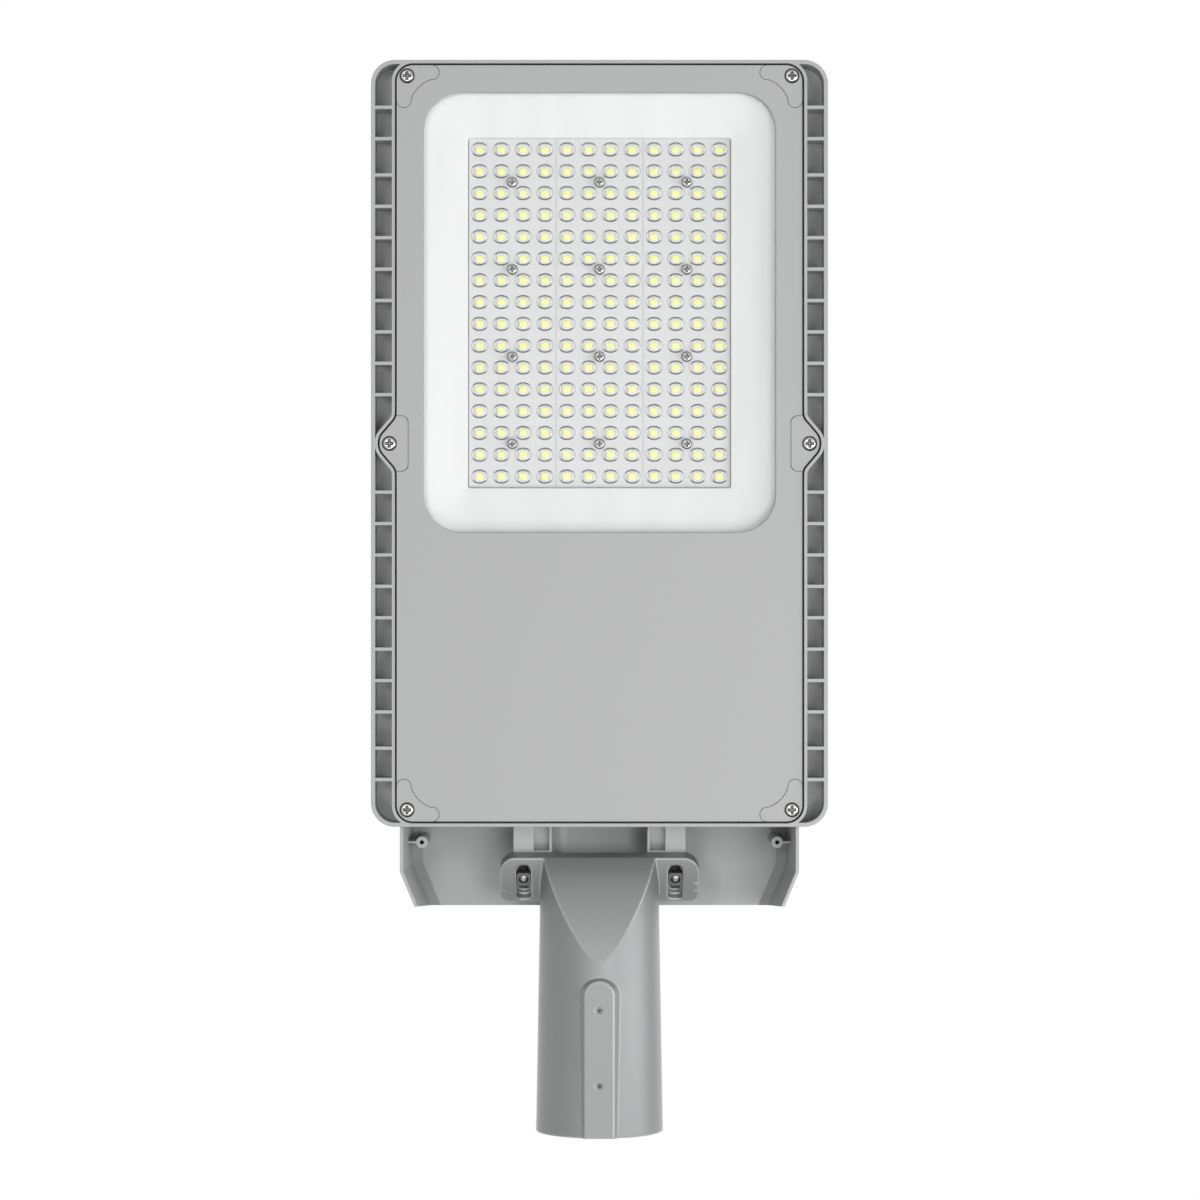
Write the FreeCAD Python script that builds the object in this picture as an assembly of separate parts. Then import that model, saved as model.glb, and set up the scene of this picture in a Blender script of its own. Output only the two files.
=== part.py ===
import FreeCAD, Part
import math
import os

# Street light head, millimetres. +Z is up, the light faces -Z, the pole enters along +Y.
# The origin is the centre of the spigot bore's mouth. Left means -X, right means +X.

# Rim and head outline
rim_z = -40.0
rim_half_width = 135.4
head_back = 185.0
bay_length = 174.6
rim_corner_radius = 14.2
rim_wall = 2.4
pocket_width = 9.9
wing_height = 26.0
wing_edge_radius = 8.0
rib_thickness = 2.0
rib_pitch = 18.6
rib_first = 28.9
ribs_per_run = 8
rib_outer_first = 180.6
pocket_depth = 20.0

# Raised body of the housing and its rear shroud
body_side_inset = 16.8
body_nose_inset = 7.4
body_nose_radius = 12.0
body_top_z = 44.0
nose_length = 304.4
nose_top_z = -16.0
body_lower_edge_z = -34.0
body_chamfer = 9.0
top_wall = 3.0
shroud_wall = 2.0
shroud_draft = 2.3
shroud_back = 132.0
shroud_rake = 5.6
shroud_kink = 158.0
shroud_narrowing = 10.8
shroud_tip_radius = 2.6
shroud_corner_radius = 5.0
shroud_ceiling_bevel = 6.0
rear_wall = 9.0
partition_gap = 7.6
partition_wall = 4.0

# Screw bosses in the shroud
boss_side_inset = 11.4
boss_y = 173.2
boss_radius = 3.5
boss_end_z = 0.0
boss_hole_radius = 1.25
boss_hole_depth = 20.0
boss_rib = 1.2

# Cover plate with its bulges at the middle screws
cover_gap = 1.1
cover_inner_wall = 1.8
cover_back_gap = 3.1
cover_front_gap = 3.0
cover_corner_radius = 9.5
cover_recess = 1.2
cover_thickness = 4.0
bulge_rim_inset = 5.0
bulge_base = 15.4
bulge_top = 3.5
bulge_tip_share = 0.95
bulge_base_radius = 8.0
gasket_thickness = 2.0
gasket_width = 3.0
gasket_play = 0.3
ledge_cavity_radius = 25.0
ledge_width = 5.2
cavity_front_wall = 8.4

# Clamp plates and cover screws
clamp_thickness = 2.4
clamp_play = 0.3
corner_clamp_reach = 25.0
corner_clamp_scoop_radius = 18.6
corner_clamp_scoop_offset = 1.0
corner_clamp_lobe_radius = 4.2
side_clamp_inner_reach = 11.0
side_clamp_half_length = 16.3
side_clamp_radius = 4.0
corner_screw_side_inset = 6.1
corner_screw_front_inset = 6.2
corner_screw_rear_inset = 6.9
side_screw_inset = 5.8
screw_head_radius = 4.25
screw_head_height = 2.4
head_round_share = 0.45
screw_seat_depth = 1.4
screw_shank_radius = 2.4
screw_length = 15.0
screw_recess_length = 4.8
screw_recess_width = 1.0
screw_recess_depth = 1.5
thread_play = 0.05
hole_play = 0.3

# Window, glass and reflector frame
window_side_margin = 15.9
window_length = 260.8
window_front_gap = 19.0
window_radius = 22.5
window_chamfer = 0.5
glass_margin = 6.0
glass_thickness = 4.0
glass_seal_thickness = 0.8
glass_seal_inset = 0.5
frame_wall = 1.2
frame_opening_play = 0.4
frame_opening_radius = 1.5

# Light engine: three strips, each with four columns of sixteen lenses
spreader_z = -20.0
spreader_thickness = 8.0
strip_count = 3
columns = 4
rows = 16
led_pitch = 13.0
array_offset = 0.5
strip_gap = 0.2
board_thickness = 1.6
led_size = 3.6
led_height = 0.8
lens_base_thickness = 3.2
led_pocket_width = 5.4
led_pocket_depth = 1.4
lens_half_x = 5.05
lens_half_y = 3.95
lens_height = 3.2
lens_sink = 0.4
lens_sides = 16
lens_shoulder = (0.6, 0.8)
lens_crown_share = 0.3
lens_screw_rows = 4
lens_screw_head_radius = 3.2
lens_screw_head_height = 2.2
lens_screw_shank_radius = 1.5
lens_screw_ring_radius = 4.0
lens_screw_ring_depth = 0.6
lens_screw_recess_length = 3.6
lens_screw_recess_width = 0.8
lens_screw_recess_depth = 1.3
lens_screw_length = 10.0
led_lead_radius = 1.2
led_lead_start_z = 8.0
led_lead_wall_gap = 14.0
led_lead_play = 0.3
lead_bend_share = 0.45

# Cooling fins
fin_pitch = 11.0
fin_slot = 7.0
fin_side_margin = 4.0
fin_back_margin = 16.0
fin_front_margin = 28.0

# Tilt joint between the housing's drum and the spigot's flange
tilt_y = 183.4
tilt_z = 40.0
drum_radius = 45.7
drum_play = 0.3
flange_thickness = 9.0
flange_half_width = 59.8
flange_head_angle = 20.1
flange_mouth_angle = 57.9
flange_top_angle = 84.0
flange_head_corner = 9.5
flange_mouth_corner = 6.5
cheek_inner_x = 39.6
cheek_outer_x = 51.8
panel_inner_x = 30.2
panel_recess = 7.0
panel_start_y = 168.4
trough_half_width = 27.5
trough_flare = 1.5
trough_ceiling_z = 23.0
trough_corner = 9.0

# Tilt bolts in the stepped slots
bolt_x = 45.7
bolt_angle = 36.5
tilt_up = 5.0
tilt_down = 10.0
slot_width = 8.8
slot_depth = 4.4
slot_corner = 3.0
slot_head_angle = 24.7
slot_mouth_angle = 55.2
nut_width = 8.2
nut_length = 10.0
nut_corner = 1.6
nut_height = 3.4
bolt_radius = 2.9
bolt_play = 0.4
bolt_tip_inset = 0.4
bolt_tip_chamfer = 1.6
bolt_head_radius = 5.0
bolt_head_height = 6.0
bolt_socket_width = 5.0
bolt_socket_depth = 3.0
bolt_seat_radius = 12.0
washer_thickness = 1.0
tick_height = 0.4
tick_width = 1.0
tick_length = 2.6
tick_inset = 0.4
tick_angles_left = (39.4, 46.0)
tick_angles_right = (46.0,)

# Spigot adapter
bore_radius = 31.5
bore_depth = 100.0
mouth_radius = 38.25
tube_draft = 0.977
passage_radius = 29.0
scoop_radius = 140.0
scoop_tip_y = 104.8
scoop_rise_angle = 9.5
scoop_wall = 4.0
strip_half_width = 8.6
strip_base_half_width = 12.8
strip_base_depth = 2.6
strip_apex_y = 97.3
strip_face_z = -39.6
set_screw_places = (76.1, 31.2)
set_screw_radius = 2.1
set_screw_inset = 0.6
set_screw_length = 7.2
set_screw_socket = 2.0
set_screw_socket_depth = 3.0

# Electrics in the bay
driver_length = 170.0
driver_width = 66.0
driver_height = 36.0
driver_back = 250.0
driver_tab = 10.0
driver_tab_thickness = 2.5
driver_tab_inset = 12.0
driver_edge = 3.0
mount_rib_inset = 6.0
mount_rib_height = 4.0
m4_radius = 2.0
m4_head_radius = 3.6
m4_head_height = 2.6
m4_length = 8.0
m4_recess_length = 3.6
m4_recess_width = 0.9
m4_recess_depth = 1.4
block_back = 206.0
surge_length = 45.0
surge_width = 32.0
surge_height = 22.0
surge_left = -95.0
surge_corner_radius = 2.0
terminal_length = 42.0
terminal_width = 24.0
terminal_height = 20.0
terminal_left = 46.0
terminal_ways = 3
terminal_screw_radius = 2.6
terminal_screw_depth = 3.0
input_lead_radius = 3.5
gland_z = 5.0
gland_thread_radius = 10.2
gland_flange_radius = 13.0
gland_flange_thickness = 4.0
gland_dome_radius = 11.0
gland_dome_length = 14.0
gland_dome_edge = 3.0
gland_bore_radius = 6.0
earth_screw_x = 72.0
earth_screw_z = 5.0
earth_head_radius = 4.0
earth_head_height = 3.0
earth_length = 6.0

# Values that follow from those above
window_back = head_back + bay_length
window_front = window_back + window_length
head_front = window_front + window_front_gap
head_middle = (head_back + head_front) / 2
cover_half_width = rim_half_width - rim_wall - pocket_width - cover_inner_wall - cover_gap
bulge_half_width = rim_half_width - bulge_rim_inset
bulge_turn = math.atan2(bulge_half_width - cover_half_width, bulge_base - bulge_top)
bulge_tip_radius = bulge_tip_share * bulge_top / math.tan(bulge_turn / 2)
side_screw_x = bulge_half_width - side_screw_inset
side_clamp_inner_x = side_screw_x - side_clamp_inner_reach
cavity_half_width = cover_half_width - ledge_width
window_half_width = cover_half_width - window_side_margin
body_half_width = rim_half_width - body_side_inset
body_flat_end = head_front - nose_length
shroud_tip_half_width = body_half_width - shroud_narrowing
boss_x = body_half_width - boss_side_inset
partition_y = window_back - partition_gap
wing_top = rim_z + wing_height
cover_back = head_back + cover_back_gap
cover_front = head_front - cover_front_gap
cover_face_z = rim_z + cover_recess
cover_inner_z = cover_face_z + cover_thickness
ledge_z = cover_inner_z + gasket_thickness
clamp_inner_z = cover_face_z + clamp_thickness
screw_seat_z = cover_face_z + screw_seat_depth
bay_back = head_back + rear_wall
cavity_front = head_front - cavity_front_wall
ceiling_z = body_top_z - top_wall
nose_drop = body_top_z - nose_top_z
nose_arc_radius = ((head_front - body_flat_end) ** 2 + nose_drop**2) / (2 * nose_drop)
led_centre_y = (window_back + window_front) / 2 + array_offset
led_lead_drop_y = partition_y - led_lead_wall_gap
glass_outer_z = cover_inner_z + glass_seal_thickness
glass_inner_z = glass_outer_z + glass_thickness
strip_width = columns * led_pitch
array_half_width = strip_count * strip_width / 2
array_half_length = rows * led_pitch / 2
board_z = spreader_z - board_thickness
lens_face_z = board_z - lens_base_thickness
fin_base_z = spreader_z + spreader_thickness
fin_side_count = int((body_half_width - fin_side_margin - fin_slot / 2) / fin_pitch)
fin_back = partition_y + partition_wall + fin_back_margin
fin_front = head_front - fin_front_margin
flange_inner_radius = drum_radius + drum_play
flange_outer_radius = flange_inner_radius + flange_thickness
slot_floor_radius = flange_outer_radius - slot_depth
nut_floor_radius = slot_floor_radius + drum_play
driver_top_z = ceiling_z - mount_rib_height
far = 700.0
beyond = 30.0


def vector(x, y, z):
    return FreeCAD.Vector(x, y, z)


def box(x0, x1, y0, y1, z0, z1):
    return Part.makeBox(x1 - x0, y1 - y0, z1 - z0, vector(x0, y0, z0))


def cylinder_z(x, y, radius, z0, z1):
    return Part.makeCylinder(radius, z1 - z0, vector(x, y, z0))


def cylinder_y(x, z, radius, y0, y1):
    return Part.makeCylinder(radius, y1 - y0, vector(x, y0, z), vector(0, 1, 0))


def cylinder_x(y, z, radius, x0, x1):
    return Part.makeCylinder(radius, x1 - x0, vector(x0, y, z), vector(1, 0, 0))


def level(z):
    """Places outline points (x, y) at the height z."""
    return lambda x, y: vector(x, y, z)


def upright(x):
    """Places outline points (y, z) in the plane at x."""
    return lambda y, z: vector(x, y, z)


def rounded_wire(corners, place):
    """A closed outline through corners (u, v, radius), each rounded by a tangent arc."""
    arcs = []
    for index, (u, v, radius) in enumerate(corners):
        here = vector(u, v, 0)
        before = vector(*corners[index - 1][:2], 0)
        after = vector(*corners[(index + 1) % len(corners)][:2], 0)
        back = (before - here).normalize()
        ahead = (after - here).normalize()
        half_angle = back.getAngle(ahead) / 2
        reach = radius / math.tan(half_angle)
        start = here + back * reach
        end = here + ahead * reach
        if radius:
            inward = (back + ahead).normalize()
            middle = here + inward * (radius / math.sin(half_angle) - radius)
            arcs.append((start, middle, end))
        else:
            arcs.append((start, None, end))
    edges = []
    for index, (start, middle, end) in enumerate(arcs):
        if middle is not None:
            points = [place(point.x, point.y) for point in (start, middle, end)]
            edges.append(Part.Arc(*points).toShape())
        following = arcs[(index + 1) % len(arcs)][0]
        if (following - end).Length > 1e-6:
            edges.append(Part.makeLine(place(end.x, end.y), place(following.x, following.y)))
    return Part.Wire(edges)


def plate(corners, z0, z1):
    """A flat plate with rounded corners between two heights."""
    return Part.Face(rounded_wire(corners, level(z0))).extrude(vector(0, 0, z1 - z0))


def rectangle(half_width, y0, y1, radius):
    return [
        (-half_width, y0, radius),
        (half_width, y0, radius),
        (half_width, y1, radius),
        (-half_width, y1, radius),
    ]


def cover_outline(offset):
    """The cover's outline with a bulge at each middle screw, moved outwards by the offset."""
    half = cover_half_width + offset
    back = cover_back - offset
    front = cover_front + offset
    tip = bulge_half_width + offset
    spread = offset * math.tan(bulge_turn / 2)
    base = bulge_base + spread
    top = bulge_top + spread
    radius = cover_corner_radius + offset
    right = [
        (half, back, radius),
        (half, head_middle - base, bulge_base_radius - offset),
        (tip, head_middle - top, bulge_tip_radius + offset),
        (tip, head_middle + top, bulge_tip_radius + offset),
        (half, head_middle + base, bulge_base_radius - offset),
        (half, front, radius),
    ]
    left = [(-x, y, r) for x, y, r in reversed(right)]
    return right + left


def body_plan():
    """Plan of the raised body; the rear narrows from the kink to the shroud's tip."""
    nose = head_front - body_nose_inset
    right = [
        (shroud_tip_half_width, shroud_back, shroud_tip_radius),
        (body_half_width, shroud_kink, shroud_corner_radius),
        (body_half_width, nose, body_nose_radius),
    ]
    left = [(-x, y, r) for x, y, r in reversed(right)]
    return right + left


def profile_face(x, inset, lower_z):
    """Side view of the raised body at x: flat top, then one arc down to the nose."""
    middle_y = (body_flat_end + head_front) / 2
    place = upright(x)
    start = place(body_flat_end, body_top_z - inset)
    middle = place(middle_y, top_height(middle_y) - inset)
    end = place(head_front, nose_top_z - inset)
    edges = [
        Part.makeLine(place(0, body_top_z - inset), start),
        Part.Arc(start, middle, end).toShape(),
        Part.makeLine(end, place(head_front, lower_z)),
        Part.makeLine(place(head_front, lower_z), place(0, lower_z)),
        Part.makeLine(place(0, lower_z), place(0, body_top_z - inset)),
    ]
    return Part.Face(Part.Wire(edges))


def top_height(y):
    """Height of the body's top line at the distance y."""
    if y < body_flat_end:
        return body_top_z
    return body_top_z - nose_arc_radius + math.sqrt(nose_arc_radius**2 - (y - body_flat_end) ** 2)


def raised_body():
    """The body's outer form, its top sloping down beside a level middle."""
    level_half = body_half_width - body_chamfer
    slope = 2 * body_chamfer
    form = profile_face(-level_half, 0.0, body_lower_edge_z).extrude(vector(2 * level_half, 0, 0))
    sides = []
    for side in (-1, 1):
        profile = profile_face(side * level_half, 0.0, body_lower_edge_z)
        sides.append(profile.extrude(vector(side * slope, 0, -slope)))
    return plate(body_plan(), body_lower_edge_z, body_top_z + 1.0).common(form.fuse(sides))


def bay_space():
    """Hollow of the electrics bay between the rear wall and the partition."""
    outline = [
        (-cavity_half_width, spreader_z - 1.0, 0.0),
        (-cavity_half_width, ceiling_z - body_chamfer, 0.0),
        (-cavity_half_width + body_chamfer, ceiling_z, 0.0),
        (cavity_half_width - body_chamfer, ceiling_z, 0.0),
        (cavity_half_width, ceiling_z - body_chamfer, 0.0),
        (cavity_half_width, spreader_z - 1.0, 0.0),
    ]
    section = rounded_wire(outline, lambda x, z: vector(x, bay_back, z))
    under_top = profile_face(-far / 2, top_wall, spreader_z - 2.0).extrude(vector(far, 0, 0))
    return Part.Face(section).extrude(vector(0, partition_y - bay_back, 0)).common(under_top)


def sector(r0, r1, x0, x1, angle0, angle1):
    """Block between two radii about the tilt axis; angles run from -Z towards the mouth."""

    def at(radius, degrees):
        turn = math.radians(degrees)
        return vector(x0, tilt_y - radius * math.sin(turn), tilt_z - radius * math.cos(turn))

    middle = (angle0 + angle1) / 2
    edges = [
        Part.Arc(at(r1, angle0), at(r1, middle), at(r1, angle1)).toShape(),
        Part.makeLine(at(r1, angle1), at(r0, angle1)),
        Part.Arc(at(r0, angle1), at(r0, middle), at(r0, angle0)).toShape(),
        Part.makeLine(at(r0, angle0), at(r1, angle0)),
    ]
    return Part.Face(Part.Wire(edges)).extrude(vector(x1 - x0, 0, 0))


def radial_edges(block, angle):
    """The straight corner edges of a sector that lie in the radial plane at the angle."""
    turn = math.radians(angle)
    found = []
    for edge in block.Edges:
        ends = [v.Point for v in edge.Vertexes]
        if len(ends) < 2 or abs(ends[0].x - ends[1].x) > 1e-3:
            continue
        off = [abs((p.y - tilt_y) * math.cos(turn) - (p.z - tilt_z) * math.sin(turn)) for p in ends]
        if max(off) < 1e-3 and (ends[0] - ends[1]).Length > 1.0:
            found.append(edge)
    return found


def rounded_sector(radii, ends, angles, corners):
    block = sector(*radii, *ends, *angles)
    for angle, corner in zip(angles, corners):
        block = block.makeFillet(corner, radial_edges(block, angle))
    return block


def bolt_direction():
    turn = math.radians(bolt_angle)
    return vector(0, -math.sin(turn), -math.cos(turn))


def bolt_cylinder(x, radius, r0, r1):
    """Cylinder on the tilt bolt's line between two distances from the tilt axis."""
    base = vector(x, tilt_y, tilt_z) + bolt_direction() * r0
    return Part.makeCylinder(radius, r1 - r0, base, bolt_direction())


def hexagon(centre, direction, width, depth):
    """A hexagonal prism, width across flats, running from the centre along the direction."""
    radius = width / math.sqrt(3)
    turns = [k * math.pi / 3 for k in range(7)]
    points = [vector(radius * math.cos(turn), radius * math.sin(turn), 0) for turn in turns]
    prism = Part.Face(Part.makePolygon(points)).extrude(vector(0, 0, depth))
    prism.Placement = FreeCAD.Placement(centre, FreeCAD.Rotation(vector(0, 0, 1), direction))
    return prism


def corner_places():
    """Corner screws as (x, y, side, end), where side and end are the signs of the corner."""
    places = []
    for side in (-1, 1):
        for end in (-1, 1):
            y = cover_front - corner_screw_front_inset if end > 0 else cover_back + corner_screw_rear_inset
            places.append((side * (cover_half_width - corner_screw_side_inset), y, side, end))
    return places


def screw_places():
    corners = [(x, y) for x, y, side, end in corner_places()]
    return corners + [(side * side_screw_x, head_middle) for side in (-1, 1)]


def strip_centres():
    return [(index - (strip_count - 1) / 2) * strip_width for index in range(strip_count)]


def led_places(centre_x):
    for column in range(columns):
        for row in range(rows):
            x = centre_x + (column - (columns - 1) / 2) * led_pitch
            y = led_centre_y + (row - (rows - 1) / 2) * led_pitch
            yield x, y


def lens_screw_places(centre_x):
    spacing = rows * led_pitch / lens_screw_rows
    for index in range(lens_screw_rows):
        yield centre_x, led_centre_y + (index - (lens_screw_rows - 1) / 2) * spacing


def rib_centres():
    offsets = [rib_first + rib_pitch * k for k in range(ribs_per_run)]
    offsets += [rib_outer_first + rib_pitch * k for k in range(2)]
    return [head_middle + sign * offset for offset in offsets for sign in (-1, 1)]


def rim_pockets():
    """The ladder of pockets between the outer wall and the wall round the cover."""
    back = head_back + rim_wall
    inner = rectangle(rim_half_width - rim_wall, back, head_front - rim_wall, rim_corner_radius - rim_wall)
    pockets = plate(inner, rim_z - 1.0, rim_z + pocket_depth)
    heights = (rim_z - 2.0, rim_z + pocket_depth + 1.0)
    pockets = pockets.cut(plate(cover_outline(cover_gap + cover_inner_wall), *heights))
    half = rib_thickness / 2
    ribs = [box(-far / 2, far / 2, y - half, y + half, *heights) for y in rib_centres()]
    return pockets.cut(Part.makeCompound(ribs))


def fin_slots():
    """Slots cut from above, with round ends, that leave the cooling fins."""
    slots = []
    radius = fin_slot / 2
    for index in range(-fin_side_count, fin_side_count + 1):
        x = index * fin_pitch
        ends = (fin_back + radius, fin_front - radius)
        slot = box(x - radius, x + radius, *ends, fin_base_z, body_top_z + 1.0)
        rounds = [cylinder_z(x, y, radius, fin_base_z, body_top_z + 1.0) for y in ends]
        slots.append(slot.fuse(rounds))
    return slots


def drum():
    """Seat of the tilt joint: two cheeks, recessed panels and the trough between them."""
    low = tilt_z - drum_radius - 2.0
    limit = box(-cheek_outer_x, cheek_outer_x, shroud_back, head_back + 1.0, low, ceiling_z + 1.0)
    seat = cylinder_x(tilt_y, tilt_z, drum_radius, -cheek_outer_x, cheek_outer_x).common(limit)
    panel_radius = drum_radius - panel_recess
    for x0, x1 in ((-cheek_inner_x, -panel_inner_x), (panel_inner_x, cheek_inner_x)):
        ring = box(x0, x1, panel_start_y, head_back, low, tilt_z)
        seat = seat.cut(ring.cut(cylinder_x(tilt_y, tilt_z, panel_radius, x0, x1)))
    back = shroud_back - 5.0
    flare = trough_half_width + trough_flare
    corners = [
        (-flare, low, 0.0),
        (flare, low, 0.0),
        (trough_half_width, trough_ceiling_z, trough_corner),
        (-trough_half_width, trough_ceiling_z, trough_corner),
    ]
    trough = Part.Face(rounded_wire(corners, lambda x, z: vector(x, back, z)))
    return seat.cut(trough.extrude(vector(0, head_back - back, 0)))


def shroud_cavity():
    """Open space under the rear shroud, drafted towards its ceiling and bevelled below it."""
    slope = (body_half_width - shroud_tip_half_width) / (shroud_kink - shroud_back)
    back = shroud_back - beyond
    half = body_half_width - shroud_wall
    knee_z = ceiling_z - shroud_ceiling_bevel
    levels = (
        (half + 1.0, body_lower_edge_z - beyond, half - shroud_draft, knee_z),
        (half - shroud_draft, knee_z, half - shroud_draft - shroud_ceiling_bevel, ceiling_z),
    )
    pieces = []
    for lower_half, lower_z, upper_half, upper_z in levels:
        outlines = []
        for width, z in ((lower_half, lower_z), (upper_half, upper_z)):
            tip = width - slope * (shroud_kink - back)
            right = [(tip, back, 0.0), (width, shroud_kink, 0.0), (width, head_back, 0.0)]
            left = [(-x, y, r) for x, y, r in reversed(right)]
            outlines.append(rounded_wire(right + left, level(z)))
        pieces.append(Part.makeLoft(outlines, True, True))
    return pieces[0].fuse(pieces[1])


def shroud_bosses():
    bosses = []
    for side in (-1, 1):
        boss = cylinder_z(side * boss_x, boss_y, boss_radius, boss_end_z, ceiling_z)
        x0, x1 = sorted((side * boss_x, side * (body_half_width - shroud_wall / 2)))
        half = boss_rib / 2
        rib = box(x0, x1, boss_y - half, boss_y + half, boss_end_z, ceiling_z - shroud_ceiling_bevel)
        bosses.append(boss.fuse(rib))
    return bosses


def shroud_tail_cut():
    """Cuts the shroud's back end along a raked plane, further back at the top."""
    corners = [
        (shroud_back, body_top_z + 5.0, 0.0),
        (shroud_back - beyond, body_top_z + 5.0, 0.0),
        (shroud_back - beyond, body_lower_edge_z - 5.0, 0.0),
        (shroud_back + shroud_rake, body_lower_edge_z - 5.0, 0.0),
        (shroud_back, ceiling_z, 0.0),
    ]
    return Part.Face(rounded_wire(corners, upright(-far / 2))).extrude(vector(far, 0, 0))


def make_housing():
    outline = rectangle(rim_half_width, head_back, head_front, rim_corner_radius)
    wing = plate(outline, rim_z, wing_top)
    wing = wing.makeFillet(wing_edge_radius, [e for e in wing.Edges if e.BoundBox.ZMin > wing_top - 0.01])
    body = raised_body().cut(shroud_tail_cut())
    shell = wing.fuse(body)
    shroud = shroud_cavity().cut(box(-far, far, head_back, far, -far, far))
    shell = shell.cut([shroud, rim_pockets(), plate(cover_outline(cover_gap), rim_z - 1.0, ledge_z)])
    tray = rectangle(cavity_half_width, bay_back, cavity_front, ledge_cavity_radius)
    tray = plate(tray, ledge_z - 1.0, spreader_z)
    rib_back = driver_back + mount_rib_inset
    rib_front = driver_back + driver_width - mount_rib_inset
    half_tab = driver_tab / 2
    ribs = [
        box(x - half_tab, x + half_tab, rib_back, rib_front, driver_top_z, ceiling_z + 1.0)
        for x in (-driver_length / 2 - half_tab, driver_length / 2 + half_tab)
    ]
    shell = shell.cut([tray, bay_space()] + fin_slots())
    shell = shell.fuse([drum()] + shroud_bosses() + ribs)
    holes = [cylinder_y(0, gland_z, gland_thread_radius + thread_play, head_back - 1.0, bay_back + 1.0)]
    screw_end = screw_seat_z + screw_length + 1.0
    for x, y in screw_places():
        holes.append(cylinder_z(x, y, screw_shank_radius + thread_play, ledge_z - 1.0, screw_end))
    for centre in strip_centres():
        for x, y in lens_screw_places(centre):
            tip = lens_face_z + lens_screw_length + 0.5
            holes.append(cylinder_z(x, y, lens_screw_shank_radius + thread_play, spreader_z - 1.0, tip))
    for side in (-1, 1):
        x = side * boss_x
        holes.append(cylinder_z(x, boss_y, boss_hole_radius, boss_end_z - 1.0, boss_end_z + boss_hole_depth))
        holes.append(bolt_cylinder(side * bolt_x, bolt_radius + hole_play, 0.0, drum_radius + 1.0))
        holes.append(bolt_cylinder(side * bolt_x, bolt_head_radius + hole_play, -beyond, bolt_seat_radius))
        tab_x = side * (driver_length + driver_tab) / 2
        tab_y = driver_back + driver_width / 2
        tab_end = driver_top_z - driver_tab_thickness + m4_length + hole_play
        holes.append(cylinder_z(tab_x, tab_y, m4_radius + thread_play, driver_top_z - 1.0, tab_end))
    earth_end = bay_back - earth_length
    earth_hole_radius = m4_radius + thread_play
    holes.append(cylinder_y(earth_screw_x, earth_screw_z, earth_hole_radius, earth_end, bay_back + 1.0))
    return shell.cut(holes)


def corner_clamp_region(side, end, grow):
    """Boomerang with round ends in a corner of the cover, its inner edge moved out by grow."""
    z0 = cover_face_z - 1.0
    lobe = corner_clamp_lobe_radius
    arm = corner_clamp_reach - lobe
    scoop_place = corner_clamp_reach + corner_clamp_scoop_offset
    elbow = box(-arm, 2.0, -arm, 2.0, z0, clamp_inner_z)
    scoop = corner_clamp_scoop_radius - grow
    elbow = elbow.cut(cylinder_z(-scoop_place, -scoop_place, scoop, z0 - 1.0, clamp_inner_z + 1.0))
    lobes = [cylinder_z(x, y, lobe + grow, z0, clamp_inner_z) for x, y in ((-arm, -lobe), (-lobe, -arm))]
    region = elbow.fuse(lobes)
    if side < 0:
        region = region.mirror(vector(0, 0, 0), vector(1, 0, 0))
    if end < 0:
        region = region.mirror(vector(0, 0, 0), vector(0, 1, 0))
    region.translate(vector(side * cover_half_width, cover_front if end > 0 else cover_back, 0))
    return region


def side_clamp_region(side, grow):
    """D-shaped plate over a middle screw, filling the cover's bulge."""
    inner = side_clamp_inner_x - grow
    half = side_clamp_half_length + grow
    corners = [
        (side * inner, head_middle - half, side_clamp_radius),
        (side * (bulge_half_width + 2.0), head_middle - half, 0.0),
        (side * (bulge_half_width + 2.0), head_middle + half, 0.0),
        (side * inner, head_middle + half, side_clamp_radius),
    ]
    return plate(corners, cover_face_z - 1.0, clamp_inner_z)


def clamp_regions(grow):
    regions = [corner_clamp_region(side, end, grow) for x, y, side, end in corner_places()]
    return regions + [side_clamp_region(side, grow) for side in (-1, 1)]


def screw_clearances():
    radius = screw_shank_radius + hole_play
    return [cylinder_z(x, y, radius, cover_face_z - 1.0, ledge_z + 1.0) for x, y in screw_places()]


def make_cover_plate():
    cover = plate(cover_outline(0.0), cover_face_z, cover_inner_z)
    cover = cover.cut(plate(window_rectangle(0.0), cover_face_z - 1.0, cover_inner_z + 1.0))
    reach = box(
        -window_half_width - 1.0,
        window_half_width + 1.0,
        window_back - 1.0,
        window_front + 1.0,
        cover_face_z - 0.1,
        cover_face_z + 0.1,
    ).BoundBox
    lip = [edge for edge in cover.Edges if reach.isInside(edge.BoundBox)]
    cover = cover.makeChamfer(window_chamfer, lip)
    return cover.cut(clamp_regions(clamp_play) + screw_clearances())


def make_clamps():
    """Clamp plates by name, flush with the cover, with a counterbored screw hole each."""
    outline = plate(cover_outline(0.0), cover_face_z, clamp_inner_z)
    names = []
    for x, y, side, end in corner_places():
        end_name = "front_" if end > 0 else "rear_"
        names.append("corner_clamp_" + end_name + ("right" if side > 0 else "left"))
    names += ["side_clamp_left", "side_clamp_right"]
    clamps = {}
    for name, region, (x, y) in zip(names, clamp_regions(0.0), screw_places()):
        hole = cylinder_z(x, y, screw_shank_radius + hole_play, cover_face_z - 1.0, clamp_inner_z + 1.0)
        seat = cylinder_z(x, y, screw_head_radius + hole_play, cover_face_z - 1.0, screw_seat_z)
        clamps[name] = outline.common(region).cut([hole, seat])
    return clamps


def make_cover_gasket():
    """Ring under the cover's edge, notched round the screws' shanks."""
    outer = plate(cover_outline(cover_gap - gasket_play), cover_inner_z, ledge_z)
    inner = plate(cover_outline(-gasket_width), cover_inner_z - 1.0, ledge_z + 1.0)
    return outer.cut([inner] + screw_clearances())


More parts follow.
